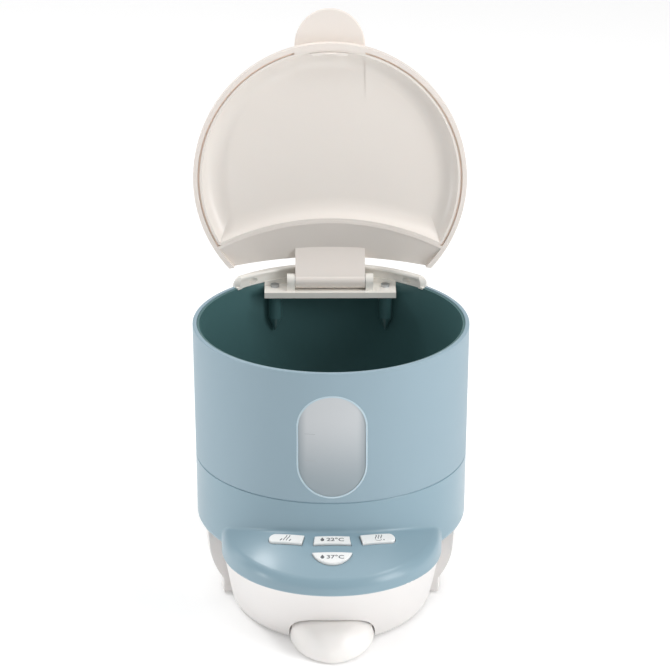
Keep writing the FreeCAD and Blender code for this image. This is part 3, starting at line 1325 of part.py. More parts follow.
def power_parts():
    """Transformer, relay and two capacitors."""
    top = BOARD_Z + BOARD_T
    row = -BOARD_BACK + PART_ROW
    x = -PART_X
    winding = block(x - COIL_W / 2, x + COIL_W / 2, row - COIL_W / 2, row + COIL_W / 2, top, top + COIL_H)
    core = block(x - CORE_W / 2, x + CORE_W / 2, row - CORE_D / 2, row + CORE_D / 2, top, top + CORE_H)
    relay_x = PART_X - RELAY_W / 2
    relay = block(relay_x, relay_x + RELAY_W, row - COIL_W / 2, row + COIL_W / 2, top, top + RELAY_H)
    can_row = -BOARD_BACK + CAN_ROW
    tall_can = rod(-CAN_X, can_row, top, top + CAN_H, CAN_R)
    small_can = rod(CAN_X, can_row, top, top + SMALL_CAN_H, SMALL_CAN_R)
    return [joined([winding, core]), relay, tall_can, small_can]


def terminal_block():
    """Screw terminals under the heater's legs."""
    top = BOARD_Z + BOARD_T
    _, forward = leg_places()[0]
    half_w = TERMINAL_W / 2
    half_d = TERMINAL_D / 2
    body = block(-half_w, half_w, forward - half_d, forward + half_d, top, top + TERMINAL_H)
    for x in (-TERMINAL_HOLE_X, TERMINAL_HOLE_X):
        body = body.cut(rod(x, forward, top + TERMINAL_H / 2, top + TERMINAL_H, TERMINAL_HOLE_R))
    return body


def heater_leads():
    """Stiff leads with sleeves, from the element's legs to the terminals."""
    leg_end = PLATE_FLANGE_Z - ELEMENT_TUBE_R - ELEMENT_LEG_L
    foot = BOARD_Z + BOARD_T + TERMINAL_H
    leads = []
    for x, forward in leg_places():
        lead = rod(x, forward, foot, leg_end, LEAD_R)
        sleeve = rod(x, forward, leg_end - LEAD_SLEEVE_L, leg_end, LEAD_SLEEVE_R)
        leads.append(lead.fuse(sleeve).removeSplitter())
    return leads


def board_screws():
    """Screws of the power board from above, and of the control board from behind."""
    top = BOARD_Z + BOARD_T
    screws = [small_screw(x, forward, top, BOARD_T + SMALL_GRIP, -1) for x, forward in board_corners()]
    seat = BOARD_FACE - BOARD_T
    for side in (-1, 1):
        screw = small_screw(side * CONTROL_POST_X, -CONTROL_POST_Y, seat, BOARD_T + SMALL_GRIP)
        screws.append(in_panel(screw))
    return screws


def mains_inlet():
    """Two-pole inlet socket with a figure-of-eight mouth."""
    face = -INLET_PLANE
    half_w = INLET_W / 2
    half_h = INLET_H / 2
    body = block(-half_w, half_w, face, face + INLET_DEPTH, INLET_Z - half_h, INLET_Z + half_h)
    wide = half_w + INLET_FLANGE
    tall = half_h + INLET_FLANGE
    flange = block(-wide, wide, face, face + INLET_FLANGE_T, INLET_Z - tall, INLET_Z + tall)
    body = joined([body, flange])
    for x in (-INLET_PIN_X, INLET_PIN_X):
        hole = Part.makeCylinder(INLET_HOLE_R, INLET_HOLE_DEPTH + 1, at(x, face - 1, INLET_Z), at(0, 1, 0))
        body = body.cut(hole)
    return body.cut(block(-INLET_PIN_X, INLET_PIN_X, face - 1, face + INLET_HOLE_DEPTH,
                          INLET_Z - INLET_WAIST, INLET_Z + INLET_WAIST))


def inlet_pins():
    """Contact pins, set into the back wall of the socket."""
    base = -INLET_PLANE + INLET_HOLE_DEPTH
    length = INLET_HOLE_DEPTH - INLET_PIN_BACK
    return [Part.makeCylinder(INLET_PIN_R, length, at(x, base, INLET_Z), at(0, -1, 0))
            for x in (-INLET_PIN_X, INLET_PIN_X)]


def mains_leads():
    """Leads from the back of the socket down to the power board."""
    start = INLET_DEPTH - INLET_PLANE
    end = -BOARD_BACK + LEAD_ROW
    top = BOARD_Z + BOARD_T
    leads = []
    for x in (-INLET_PIN_X, INLET_PIN_X):
        points = [at(x, start, INLET_Z), at(x, end, INLET_Z), at(x, end, top)]
        leads.append(bent_wire(points, LEAD_R, LEAD_BEND_R))
    return leads


def panel_cable():
    """Signal cable from the control board, beside the tray, to the power board."""
    under_board = BOARD_FACE - BOARD_T
    board_end = PANEL_FRAME.multVec(FreeCAD.Vector(-CABLE_X, 0, under_board))
    below = PANEL_FRAME.multVec(FreeCAD.Vector(-CABLE_X, 0, under_board - CABLE_START_L))
    forward = -below.y
    points = [board_end, below, at(-CABLE_X, forward, CABLE_LOW_Z),
              at(-CABLE_SIDE_X, forward - CABLE_RUN, CABLE_LOW_Z),
              at(-CABLE_SIDE_X, CABLE_END, CABLE_LOW_Z),
              at(-CABLE_SIDE_X, CABLE_END, BOARD_Z + BOARD_T)]
    return bent_wire(points, CABLE_R, CABLE_BEND_R)


# ---- the assembly ---------------------------------------------------------
LID_NODES = {
    "lid_shell": lid_shell,
    "lid_liner": lid_liner,
    "lid_seal": lid_seal,
    "lid_latch": lid_latch,
}
MACHINE_NODES = {
    "base_shell": base_shell,
    "front_bowl": front_bowl,
    "bottom_cover": bottom_cover,
    "rubber_feet": rubber_feet,
    "cover_screws": cover_screws,
    "drum_sleeve": drum_sleeve,
    "panel_collar": panel_collar,
    "chamber_liner": chamber_liner,
    "liner_screws": liner_screws,
    "window_pane": window_pane,
    "window_gasket": window_gasket,
    "hinge_block": hinge_block,
    "hinge_pin": hinge_pin,
    "hinge_screws": hinge_screws,
    "drip_tray": drip_tray,
    "heating_plate": heating_plate,
    "plate_seal": plate_seal,
    "heating_element": heating_element,
    "plate_clips": plate_clips,
    "clip_screws": clip_screws,
    "temperature_probe": temperature_probe,
    "thermal_fuse": thermal_fuse,
    "overflow_pipe": overflow_pipe,
    "power_board": power_board,
    "power_parts": power_parts,
    "terminal_block": terminal_block,
    "heater_leads": heater_leads,
    "control_board": control_board,
    "tact_switches": tact_switches,
    "board_screws": board_screws,
    "panel_cable": panel_cable,
    "mains_inlet": mains_inlet,
    "inlet_pins": inlet_pins,
    "mains_leads": mains_leads,
}
KEY_NODES = {
    "warm_button": "left",
    "water_22_button": "middle",
    "water_37_button": "moon",
    "sterilise_button": "right",
}


def export(node, shape):
    """Writes one sub-part at its place in the row's frame."""
    if isinstance(shape, list):
        shape = Part.makeCompound(shape)
    moved = shape.copy()
    moved.translate(FreeCAD.Vector(0, AXIS_Y, 0))
    moved.exportStep(f"parts/{node}.step")
    solids = moved.Solids
    box = moved.optimalBoundingBox(False, False)
    volume = sum(solid.Volume for solid in solids) / 1000
    print(f"{node:18} solids {len(solids)} valid {moved.isValid()} volume {volume:8.2f} cm3 "
          f"x {box.XMin:7.1f}..{box.XMax:6.1f} y {box.YMin:7.1f}..{box.YMax:6.1f} "
          f"z {box.ZMin:6.1f}..{box.ZMax:6.1f}")


def main():
    os.makedirs("parts", exist_ok=True)
    for node, build in MACHINE_NODES.items():
        export(node, build())
    for node, build in LID_NODES.items():
        export(node, swung_open(build()))
    for node, name in KEY_NODES.items():
        export(node, key(name))
    print(f"drum axis at y = {AXIS_Y:.3f}, hinge pin at y = {AXIS_Y + HINGE_BACK:.3f}, z = {HINGE_Z:.3f}")


main()
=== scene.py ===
# %% [markdown]
# # A baby formula maker with its lid open
#
# The real machine warms water or milk in a blue drum, and steams bottles clean under its lid.
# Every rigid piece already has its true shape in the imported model, so this lesson is about
# the rest: what each surface is made of and how it was moulded, spun or cast, the ink on the
# keys, the level marks in the window, and the light and camera that show them.
# Lengths are in metres. Sizes that a maker would read off a drawing are given in millimetres
# and turned to metres by MM.

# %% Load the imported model
import json
import math

import bmesh
import bpy
from mathutils import Matrix, Vector
from mathutils.bvhtree import BVHTree


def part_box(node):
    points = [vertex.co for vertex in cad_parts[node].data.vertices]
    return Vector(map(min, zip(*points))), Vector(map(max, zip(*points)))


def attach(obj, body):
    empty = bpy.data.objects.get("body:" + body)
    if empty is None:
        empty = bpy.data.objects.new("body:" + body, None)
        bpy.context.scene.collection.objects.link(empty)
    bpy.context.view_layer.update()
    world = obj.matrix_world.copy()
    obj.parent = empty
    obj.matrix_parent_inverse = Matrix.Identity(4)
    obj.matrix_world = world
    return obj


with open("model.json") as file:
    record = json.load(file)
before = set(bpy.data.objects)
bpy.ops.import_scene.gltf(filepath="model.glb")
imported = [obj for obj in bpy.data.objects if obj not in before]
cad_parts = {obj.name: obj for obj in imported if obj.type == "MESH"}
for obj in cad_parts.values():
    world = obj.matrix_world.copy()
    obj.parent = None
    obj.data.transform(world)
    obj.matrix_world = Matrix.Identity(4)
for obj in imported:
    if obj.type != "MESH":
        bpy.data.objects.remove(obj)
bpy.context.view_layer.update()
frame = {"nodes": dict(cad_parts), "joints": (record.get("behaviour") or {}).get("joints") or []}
MM = 0.001

# %% [markdown]
# ## Where things are
#
# The drum's axis is not at the origin, because the origin is the middle of the whole object.
# The heating plate is a round disc on the drum's floor, so the middle of its box lies on the
# axis. The plate's own rings and the camera's aim are both worked out from there.

# %% Find the drum's axis
plate_low, plate_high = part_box("heating_plate")
AXIS = Vector(((plate_low.x + plate_high.x) / 2, (plate_low.y + plate_high.y) / 2, 0))
print("drum axis", [round(value, 5) for value in AXIS])

# %% [markdown]
# ## Small helpers for materials
#
# Colours are easiest to note as sRGB hex values, but shaders add light up, so they need
# linear values. The other helpers build nodes. Sockets go by their names, or by their numbers
# where a node has two of one name: a value is set, and another node's socket is linked.
# A new material starts with its shader and with the object's own coordinates, because every
# pattern here is drawn in them and so stays put when the piece moves.

# %% Colour and node helpers
def linear(hex_code):
    """Turns a hex colour such as '8FA6B2' into the linear RGBA that a shader takes."""
    shares = [int(hex_code[start:start + 2], 16) / 255 for start in (0, 2, 4)]
    lit = [share / 12.92 if share <= 0.04045 else ((share + 0.055) / 1.055) ** 2.4
           for share in shares]
    return (*lit, 1.0)


def fill(tree, node, sockets):
    """Sets a node's sockets; where the value is another node's socket, the two are linked."""
    for socket, value in sockets.items():
        if isinstance(value, bpy.types.NodeSocket):
            tree.links.new(value, node.inputs[socket])
        else:
            node.inputs[socket].default_value = value


def add(tree, kind, fields=None, sockets=None):
    """Adds a node with its fields and sockets set."""
    node = tree.nodes.new(kind)
    for field, value in (fields or {}).items():
        setattr(node, field, value)
    fill(tree, node, sockets or {})
    return node


def new_material(name):
    """Starts a material; returns it, its tree, its shader and the object's coordinates."""
    material = bpy.data.materials.new(name)
    material.use_nodes = True
    tree = material.node_tree
    tree.nodes.clear()
    shader = add(tree, "ShaderNodeBsdfPrincipled")
    add(tree, "ShaderNodeOutputMaterial", sockets={"Surface": shader.outputs["BSDF"]})
    place = add(tree, "ShaderNodeTexCoord").outputs["Object"]
    return material, tree, shader, place


def per_metre(size_mm):
    """Scale of a pattern whose blobs or cells are about size_mm across."""
    return 1 / (size_mm * MM)


print("8FA6B2 in linear light", [round(value, 3) for value in linear("8FA6B2")])

# %% [markdown]
# ## Moulded plastic
#
# The drum, panel, base, lid and keys are injection-moulded ABS or polypropylene. The steel
# mould is spark-eroded or polished, and the plastic copies it: a satin part has a fine grain
# about a third of a millimetre across and a few microns deep. The pigment is never quite
# even, so the colour drifts by a few percent over some centimetres, and handling polishes
# some places more than others. One function makes the whole family, because the parts differ
# only in colour, gloss and grain.

# %% Moulded plastic
CLOUD_MM = 45.0        # pigment drift
RUB_MM = 14.0          # places that hands and cloths have polished
GRAIN_MM = 0.45        # the mould's grain, a little coarser than real so that it shows
FACTOR, COLOUR_A, COLOUR_B, MIXED = 0, 6, 7, 2    # a colour mix node's own sockets
POLISHED, SCUFFED = 0.04, 0.05                    # how far the roughness strays each way
COAT_ROUGHNESS = 0.2
PLASTIC_IOR = 1.5
PLASTIC_SPREAD = (0.004, 0.003, 0.0025)           # reach of red, green and blue, in units of 5 cm


def moulded(name, colour, drift, roughness, grain_depth_mm, coat=0.0, scatter=0.0):
    """Satin moulded plastic: drifting pigment, uneven polish and a fine mould grain."""
    material, tree, shader, place = new_material(name)
    cloud = add(tree, "ShaderNodeTexNoise", sockets={
        "Vector": place, "Scale": per_metre(CLOUD_MM), "Detail": 3.0})
    pigment = add(tree, "ShaderNodeMix", {"data_type": "RGBA"}, {
        FACTOR: cloud.outputs["Fac"], COLOUR_A: linear(colour), COLOUR_B: linear(drift)})
    rub = add(tree, "ShaderNodeTexNoise", sockets={
        "Vector": place, "Scale": per_metre(RUB_MM), "Detail": 4.0})
    gloss = add(tree, "ShaderNodeMapRange", sockets={
        "Value": rub.outputs["Fac"],
        "To Min": roughness - POLISHED, "To Max": roughness + SCUFFED})
    grain = add(tree, "ShaderNodeTexNoise", sockets={
        "Vector": place, "Scale": per_metre(GRAIN_MM), "Detail": 2.0})
    bump = add(tree, "ShaderNodeBump", sockets={
        "Height": grain.outputs["Fac"], "Distance": grain_depth_mm * MM, "Strength": 1.0})
    fill(tree, shader, {
        "Base Color": pigment.outputs[MIXED], "Roughness": gloss.outputs["Result"],
        "Normal": bump.outputs["Normal"], "IOR": PLASTIC_IOR,
        "Coat Weight": coat, "Coat Roughness": COAT_ROUGHNESS,
        "Subsurface Weight": scatter, "Subsurface Radius": PLASTIC_SPREAD})
    return material


# Spark-eroded skin: the drum shades softly from side to side and shows no lamp.
drum_abs = moulded("satin_blue_abs", "93AAB6", "8FA6B2", 0.46, 0.006)
# Polished steel mould: the panel shows the lamps as pale soft patches.
panel_abs = moulded("smooth_blue_abs", "8AA5B2", "85A0AD", 0.36, 0.002, coat=0.25)
# Smooth, so that it wipes clean: the chamber goes dark quickly below its shiny rim.
liner_pp = moulded("teal_polypropylene", "4E7274", "476A6C", 0.34, 0.002)
# White that lets light in a little: its shaded sides stay soft and never go dull grey.
base_abs = moulded("white_abs", "EAE7E5", "E6E3E1", 0.36, 0.002, scatter=0.06)
# The same plastic, fresher: the tray is a step brighter than the base that it slides into.
tray_abs = moulded("bright_white_tray_abs", "F8F5F2", "F4F1EE", 0.36, 0.002, scatter=0.06)
# Coarse and matt, because nobody sees it: the underside gives back an even, flat white.
cover_pp = moulded("white_polypropylene", "E9E7E4", "E2E0DD", 0.55, 0.010)
# Cream with light spreading inside: warm in the shade, and soft along the rim.
lid_abs = moulded("cream_abs", "F1E9E2", "ECE4DD", 0.38, 0.002, scatter=0.08)
# Polished so that drops run off: lights show clearer in the dish than on the satin lid.
dish_abs = moulded("cream_polished_abs", "F1EAE3", "ECE5DE", 0.30, 0.001, scatter=0.08)
# Between the lid's cream and the base's white: the hinge reads as a piece of its own.
hinge_abs = moulded("warm_white_abs", "F2EFE9", "ECE9E2", 0.34, 0.002, scatter=0.06)
# Gloss under a clear skin: the keys' rounded edges catch thin bright lines.
key_abs = moulded("bright_white_abs", "F0F1F0", "ECEDEC", 0.28, 0.001, coat=0.2, scatter=0.05)
# No pigment at all: milky, with edges that glow a little.
pipe_pp = moulded("natural_polypropylene", "DDE0DC", "D5D9D5", 0.40, 0.003, scatter=0.2)
# Glass-filled black: dull and slightly grainy round the inlet's pins.
black_pbt = moulded("black_pbt", "1C1C1E", "232325", 0.48, 0.008)
# Plain green of terminal blocks: half matt, so it doesn't look like the boards' lacquer.
green_pa = moulded("green_polyamide", "2F7048", "296540", 0.45, 0.005)
print("materials in the file:", len(bpy.data.materials))

# %% [markdown]
# ## Silicone and rubber
#
# Seals are cast in silicone, which is matt and slightly see-through, so light spreads inside
# it. The feet are black rubber that has picked up dust, and the leads wear soft PVC jackets.
# Those two keep the light at their surface. All of them look softer than plastic, with a
# high roughness and a grain that is a little coarser.

# %% Silicone and rubber
RUBBER_GRAIN_MM, RUBBER_GRAIN_DEPTH_MM = 0.7, 0.02
DUST_MM = RUB_MM / 3
DUST_FROM, DUST_FULL, DUST_MOST = 0.45, 0.75, 0.5    # where dust starts and is full, and its share
SILICONE_IOR = 1.41
SILICONE_SPREAD = (0.003, 0.002, 0.0015)


def rubbery(name, colour, dust, roughness, scatter):
    """Soft seal, foot or jacket: matt, dusty in patches; silicone lets light spread inside."""
    material, tree, shader, place = new_material(name)
    patches = add(tree, "ShaderNodeTexNoise", sockets={
        "Vector": place, "Scale": per_metre(DUST_MM), "Detail": 5.0})
    dusty = add(tree, "ShaderNodeMapRange", sockets={
        "Value": patches.outputs["Fac"], "From Min": DUST_FROM, "From Max": DUST_FULL,
        "To Max": DUST_MOST})
    skin = add(tree, "ShaderNodeMix", {"data_type": "RGBA"}, {
        FACTOR: dusty.outputs["Result"], COLOUR_A: linear(colour), COLOUR_B: linear(dust)})
    grain = add(tree, "ShaderNodeTexNoise", sockets={
        "Vector": place, "Scale": per_metre(RUBBER_GRAIN_MM), "Detail": 3.0})
    bump = add(tree, "ShaderNodeBump", sockets={
        "Height": grain.outputs["Fac"], "Distance": RUBBER_GRAIN_DEPTH_MM * MM, "Strength": 1.0})
    fill(tree, shader, {
        "Base Color": skin.outputs[MIXED], "Normal": bump.outputs["Normal"],
        "Roughness": roughness, "IOR": SILICONE_IOR,
        "Subsurface Weight": scatter, "Subsurface Radius": SILICONE_SPREAD})
    return material


# Cast rim of the window: a thin pale line between the drum and the pane.
# Its pale tone is a painted highlight, for the light along the window's edge.
edge_highlight_silicone = rubbery("pale_blue_silicone", "BED2DC", "CADBE3", 0.42, 0.2)
# Matt ring round the polished dish, as warm as the lid.
lid_silicone = rubbery("warm_grey_silicone", "F0DCCE", "F2E2D6", 0.5, 0.3)
# Milky ring round the steel plate, dull beside the metal.
plate_silicone = rubbery("milky_silicone", "CFCFCA", "DADAD6", 0.5, 0.3)
# The roughest of them: a foot takes the light in and shows only dust.
foot_rubber = rubbery("black_rubber", "262628", "4A4946", 0.75, 0.0)
# Brown jackets of the leads, with a faint sheen along their sides.
brown_pvc = rubbery("brown_pvc", "5B4030", "6B4E3C", 0.5, 0.0)
# Grey jacket of the signal cable that runs down from behind the keys.
grey_pvc = rubbery("grey_pvc", "A2A3A5", "B0B1B3", 0.5, 0.0)
print("materials in the file:", len(bpy.data.materials))

# %% [markdown]
# ## Metals
#
# A metal's colour is in its reflection, so metallic is 1 and the base colour is the tint
# that it gives to what it mirrors. What tells the kinds apart is how they were worked: the
# stainless plate was spun, which leaves rings round its middle; pins and clips were drawn or
# rolled, which leaves fine straight lines; the heater is cast and has no direction at all.
# A mapping node shrinks one coordinate of a plain noise, which draws its blobs out into
# lines along that axis.

# %% Metals
# A wave texture repeats every 0.314 of its unit, so the spinning marks come 5.7 mm apart.
# That is much coarser than real, so that they show.
RING_UNIT_MM = 18.0
SCRATCH_MM = 0.5
WORK_DEPTH_MM = {"rings": 0.006, "lines": 0.003, "cast": 0.02}
STAIN_FROM, STAIN_FULL, STAIN_MOST = 0.4, 0.7, 0.6
METAL_POLISHED, METAL_DULLED = 0.06, 0.1
ALONG_X, ALONG_Y, ALONG_Z = (0.05, 1, 1), (1, 0.05, 1), (1, 1, 0.05)    # which way lines run


def worked_metal(name, colour, tarnish, roughness, marks, stretch=(1, 1, 1)):
    """Metal with a mark pattern: 'rings' round the drum's axis, 'lines', or 'cast' lumps."""
    material, tree, shader, place = new_material(name)
    centred = add(tree, "ShaderNodeMapping", sockets={
        "Vector": place, "Location": (-AXIS.x, -AXIS.y, 0)})
    stains = add(tree, "ShaderNodeTexNoise", sockets={
        "Vector": centred.outputs["Vector"], "Scale": per_metre(RUB_MM), "Detail": 6.0})
    stained = add(tree, "ShaderNodeMapRange", sockets={
        "Value": stains.outputs["Fac"], "From Min": STAIN_FROM, "From Max": STAIN_FULL,
        "To Max": STAIN_MOST})
    skin = add(tree, "ShaderNodeMix", {"data_type": "RGBA"}, {
        FACTOR: stained.outputs["Result"], COLOUR_A: linear(colour), COLOUR_B: linear(tarnish)})
    if marks == "rings":
        pattern = add(tree, "ShaderNodeTexWave", {"wave_type": "RINGS", "rings_direction": "Z"}, {
            "Vector": centred.outputs["Vector"], "Scale": per_metre(RING_UNIT_MM),
            "Distortion": 0.6, "Detail": 2.0})
    else:
        drawn_out = add(tree, "ShaderNodeMapping", sockets={
            "Vector": centred.outputs["Vector"], "Scale": stretch})
        pattern = add(tree, "ShaderNodeTexNoise", sockets={
            "Vector": drawn_out.outputs["Vector"], "Scale": per_metre(SCRATCH_MM), "Detail": 4.0})
    bump = add(tree, "ShaderNodeBump", sockets={
        "Height": pattern.outputs["Fac"], "Distance": WORK_DEPTH_MM[marks] * MM, "Strength": 1.0})
    gloss = add(tree, "ShaderNodeMapRange", sockets={
        "Value": stains.outputs["Fac"], "To Min": roughness - METAL_POLISHED,
        "To Max": roughness + METAL_DULLED})
    fill(tree, shader, {
        "Base Color": skin.outputs[MIXED], "Roughness": gloss.outputs["Result"],
        "Normal": bump.outputs["Normal"], "Metallic": 1.0})
    return material


# Spun stainless: light runs round the plate in arcs, with warm stains from boiled water.
spun_steel = worked_metal("spun_stainless_steel", "C9C8C5", "B9B4AB", 0.3, "rings")
# Zinc plating: a slightly lumpy, bluish shine on the screws.
zinc_steel = worked_metal("zinc_plated_steel", "C2C6CA", "ADB0B1", 0.32, "cast")
# Ground steel: bright, with fine lines along the pin.
ground_steel = worked_metal("ground_steel", "C8CACC", "B4B6B8", 0.25, "lines", ALONG_X)
# Rolled strip: darker, with its lines from front to back.
strip_steel = worked_metal("rolled_spring_steel", "A9ACB0", "8F9296", 0.34, "lines", ALONG_Y)
# Casting skin: pale grey lumps that scatter the light every way.
cast_alloy = worked_metal("cast_aluminium", "C4C6C8", "AEB0B2", 0.5, "cast")
# Drawn brass: yellow, with lines down the probe.
drawn_brass = worked_metal("drawn_brass", "D9B56A", "B08D4C", 0.3, "lines", ALONG_Z)
# Nickel over brass: the pins shine warm white in their black socket.
nickel_brass = worked_metal("nickel_plated_brass", "D2CEC2", "BDB9AD", 0.22, "lines", ALONG_Y)
print("materials in the file:", len(bpy.data.materials))

# %% [markdown]
# ## The frosted window
#
# The level window is a copolyester pane, frosted inside so that the drum's contents show
# only as a soft brightness. The upper part looks light because the open mouth lights it from
# behind, the foot looks darker, and the thick rounded edge darkens too. That light and shade
# are painted into the pane's colour: a gradient along the height gives the painted glow and
# the darker foot, and one towards the edges gives the painted edge shade. A little true
# transmission lets the chamber's colour through. The frosting is a fine bump.

# %% Frosted window
FROST_MM, FROST_DEPTH_MM = 0.5, 0.004    # frosting, coarser than real so that it shows
FROST_SMOOTH, FROST_ROUGH = 0.3, 0.42    # its roughness from grain to grain
CLEAR_SHARE = 0.12     # how much light goes straight through
# Where the pane's painted glow is brightest, and where its painted edge shade starts and is full.
FULL_BELOW_TOP = 0.6   # the pane is at its lightest this far down, in half widths
EDGE_FROM, EDGE_FULL, EDGE_SHADE_MOST = 0.72, 1.02, 0.55    # in half widths, and the edge's share
pane_low, pane_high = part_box("window_pane")
pane_half = (pane_high.x - pane_low.x) / 2


def frosted(name, lit_top, shaded_foot, edge):
    """Frosted pane: a painted glow above, painted shade at its foot and near its rim, a little
    see-through.
    """
    material, tree, shader, place = new_material(name)
    part = add(tree, "ShaderNodeSeparateXYZ", sockets={"Vector": place})
    # Painted light: the colour rises from the painted shade at the foot to the painted glow above,
    # and darkens again near the rim.
    rise = add(tree, "ShaderNodeMapRange", {"interpolation_type": "SMOOTHSTEP"}, {
        "Value": part.outputs["Z"], "From Min": pane_low.z,
        "From Max": pane_high.z - pane_half * FULL_BELOW_TOP})
    body = add(tree, "ShaderNodeMix", {"data_type": "RGBA"}, {
        FACTOR: rise.outputs["Result"], COLOUR_A: linear(shaded_foot), COLOUR_B: linear(lit_top)})
    sideways = add(tree, "ShaderNodeMath", {"operation": "ABSOLUTE"}, {"Value": part.outputs["X"]})
    painted_edge_shade = add(tree, "ShaderNodeMapRange", {"interpolation_type": "SMOOTHSTEP"}, {
        "Value": sideways.outputs["Value"], "From Min": pane_half * EDGE_FROM,
        "From Max": pane_half * EDGE_FULL, "To Max": EDGE_SHADE_MOST})
    skin = add(tree, "ShaderNodeMix", {"data_type": "RGBA"}, {
        FACTOR: painted_edge_shade.outputs["Result"], COLOUR_A: body.outputs[MIXED], COLOUR_B: linear(edge)})
    frost = add(tree, "ShaderNodeTexNoise", sockets={
        "Vector": place, "Scale": per_metre(FROST_MM), "Detail": 2.0})
    bump = add(tree, "ShaderNodeBump", sockets={
        "Height": frost.outputs["Fac"], "Distance": FROST_DEPTH_MM * MM, "Strength": 1.0})
    gloss = add(tree, "ShaderNodeMapRange", sockets={
        "Value": frost.outputs["Fac"], "To Min": FROST_SMOOTH, "To Max": FROST_ROUGH})
    fill(tree, shader, {
        "Base Color": skin.outputs[MIXED], "Roughness": gloss.outputs["Result"],
        "Normal": bump.outputs["Normal"], "IOR": PLASTIC_IOR,
        "Transmission Weight": CLEAR_SHARE})
    return material


# Sand-blasted on its inner face: a milky pane with a painted glow at the top that fades
# downwards, and painted shade along its edges.
window_frost = frosted("frosted_copolyester", "CDD1D4", "9AA7AE", "84929A")
print("window pane", round(pane_half * 2 / MM, 1), "mm wide,",
      round((pane_high.z - pane_low.z) / MM, 1), "mm high")

# %% [markdown]
# ## Circuit boards, parts and ink
#
# The boards are glass-fibre laminate under a green lacquer: copper tracks show through it as
# slightly lighter lines, under half a millimetre wide. The parts on them are moulded or
# potted, so each small block gets its own shade of a cell pattern. The key labels are
# pad-printed ink, which is matt, a neutral grey and a little uneven, so the plastic's own
# recipe fits it as well.

# %% Board, parts and ink
TRACK_MM, TRACK_DEPTH_MM = 2.4, 0.035    # spacing and thickness of the copper tracks
BRICK_ROW = 0.25       # a brick texture's own row height at a scale of 1
LACQUER_MM = TRACK_MM * 6                # pools in the lacquer
LACQUER_GLOSSY, LACQUER_DULL = 0.25, 0.4
BLOCK_GRAIN_DEPTH_MM, BLOCK_ROUGHNESS = 0.01, 0.45
NO_TRACK, FAINT_TRACK, TRACK = (0, 0, 0, 1), (0.1, 0.1, 0.1, 1), (1, 1, 1, 1)


def laminate(name, lacquer, track):
    """Circuit board: green lacquer with the copper tracks showing as lighter lines."""
    material, tree, shader, place = new_material(name)
    pools = add(tree, "ShaderNodeTexNoise", sockets={
        "Vector": place, "Scale": per_metre(LACQUER_MM), "Detail": 0.0})
    tracks = add(tree, "ShaderNodeTexBrick", {"offset": 0.5}, {
        "Vector": place, "Scale": BRICK_ROW * per_metre(TRACK_MM), "Mortar Size": 0.02,
        "Mortar Smooth": 0.2, "Color1": NO_TRACK, "Color2": FAINT_TRACK, "Mortar": TRACK})
    shade = add(tree, "ShaderNodeMix", {"data_type": "RGBA"}, {
        FACTOR: tracks.outputs["Color"], COLOUR_A: linear(lacquer), COLOUR_B: linear(track)})
    gloss = add(tree, "ShaderNodeMapRange", sockets={
        "Value": pools.outputs["Fac"], "To Min": LACQUER_GLOSSY, "To Max": LACQUER_DULL})
    bump = add(tree, "ShaderNodeBump", sockets={
        "Height": tracks.outputs["Color"], "Distance": TRACK_DEPTH_MM * MM, "Strength": 1.0})
    fill(tree, shader, {
        "Base Color": shade.outputs[MIXED], "Roughness": gloss.outputs["Result"],
        "Normal": bump.outputs["Normal"]})
    return material


def potted(name, dark, light, cell_mm):
    """Small electric parts: moulded blocks whose shade changes from one to the next."""
    material, tree, shader, place = new_material(name)
    cells = add(tree, "ShaderNodeTexVoronoi", sockets={
        "Vector": place, "Scale": per_metre(cell_mm)})
    grain = add(tree, "ShaderNodeTexNoise", sockets={
        "Vector": place, "Scale": per_metre(GRAIN_MM), "Detail": 2.0})
    split = add(tree, "ShaderNodeSeparateColor", sockets={"Color": cells.outputs["Color"]})
    shade = add(tree, "ShaderNodeMix", {"data_type": "RGBA"}, {
        FACTOR: split.outputs["Red"], COLOUR_A: linear(dark), COLOUR_B: linear(light)})
    bump = add(tree, "ShaderNodeBump", sockets={
        "Height": grain.outputs["Fac"], "Distance": BLOCK_GRAIN_DEPTH_MM * MM, "Strength": 1.0})
    fill(tree, shader, {
        "Base Color": shade.outputs[MIXED], "Normal": bump.outputs["Normal"],
        "Roughness": BLOCK_ROUGHNESS})
    return material


# Lacquer over copper: green with a wet shine and faint raised lines.
board_laminate = laminate("green_lacquered_laminate", "1F5A3A", "3E8A5A")
# Epoxy and phenolic: near black blocks that differ a little from one to the next.
part_mouldings = potted("moulded_and_potted_parts", "1A1A1C", "34363A", 9.0)
# Glazed ceramic sleeve of the fuse: off-white, uneven as fired clay is.
fuse_ceramic = potted("glazed_ceramic", "E4E0D6", "D6D1C5", 6.0)
# Pad-printed ink: matt grey that breaks the keys' gloss.
label_ink = moulded("pad_printed_ink", "565A5D", "6C7073", 0.6, 0.004)
# Painted shade inside an engraved line: barely darker than the frosting round it.
painted_groove_shade = moulded("engraved_frost_shadow", "B0B5B9", "B6BBBE", 0.5, 0.004)
print("materials in the file:", len(bpy.data.materials))

# %% [markdown]
# ## Dressing the CAD pieces
#
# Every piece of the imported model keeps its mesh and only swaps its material. A table says
# which is which, and the line printed at the end names any piece that was forgotten.

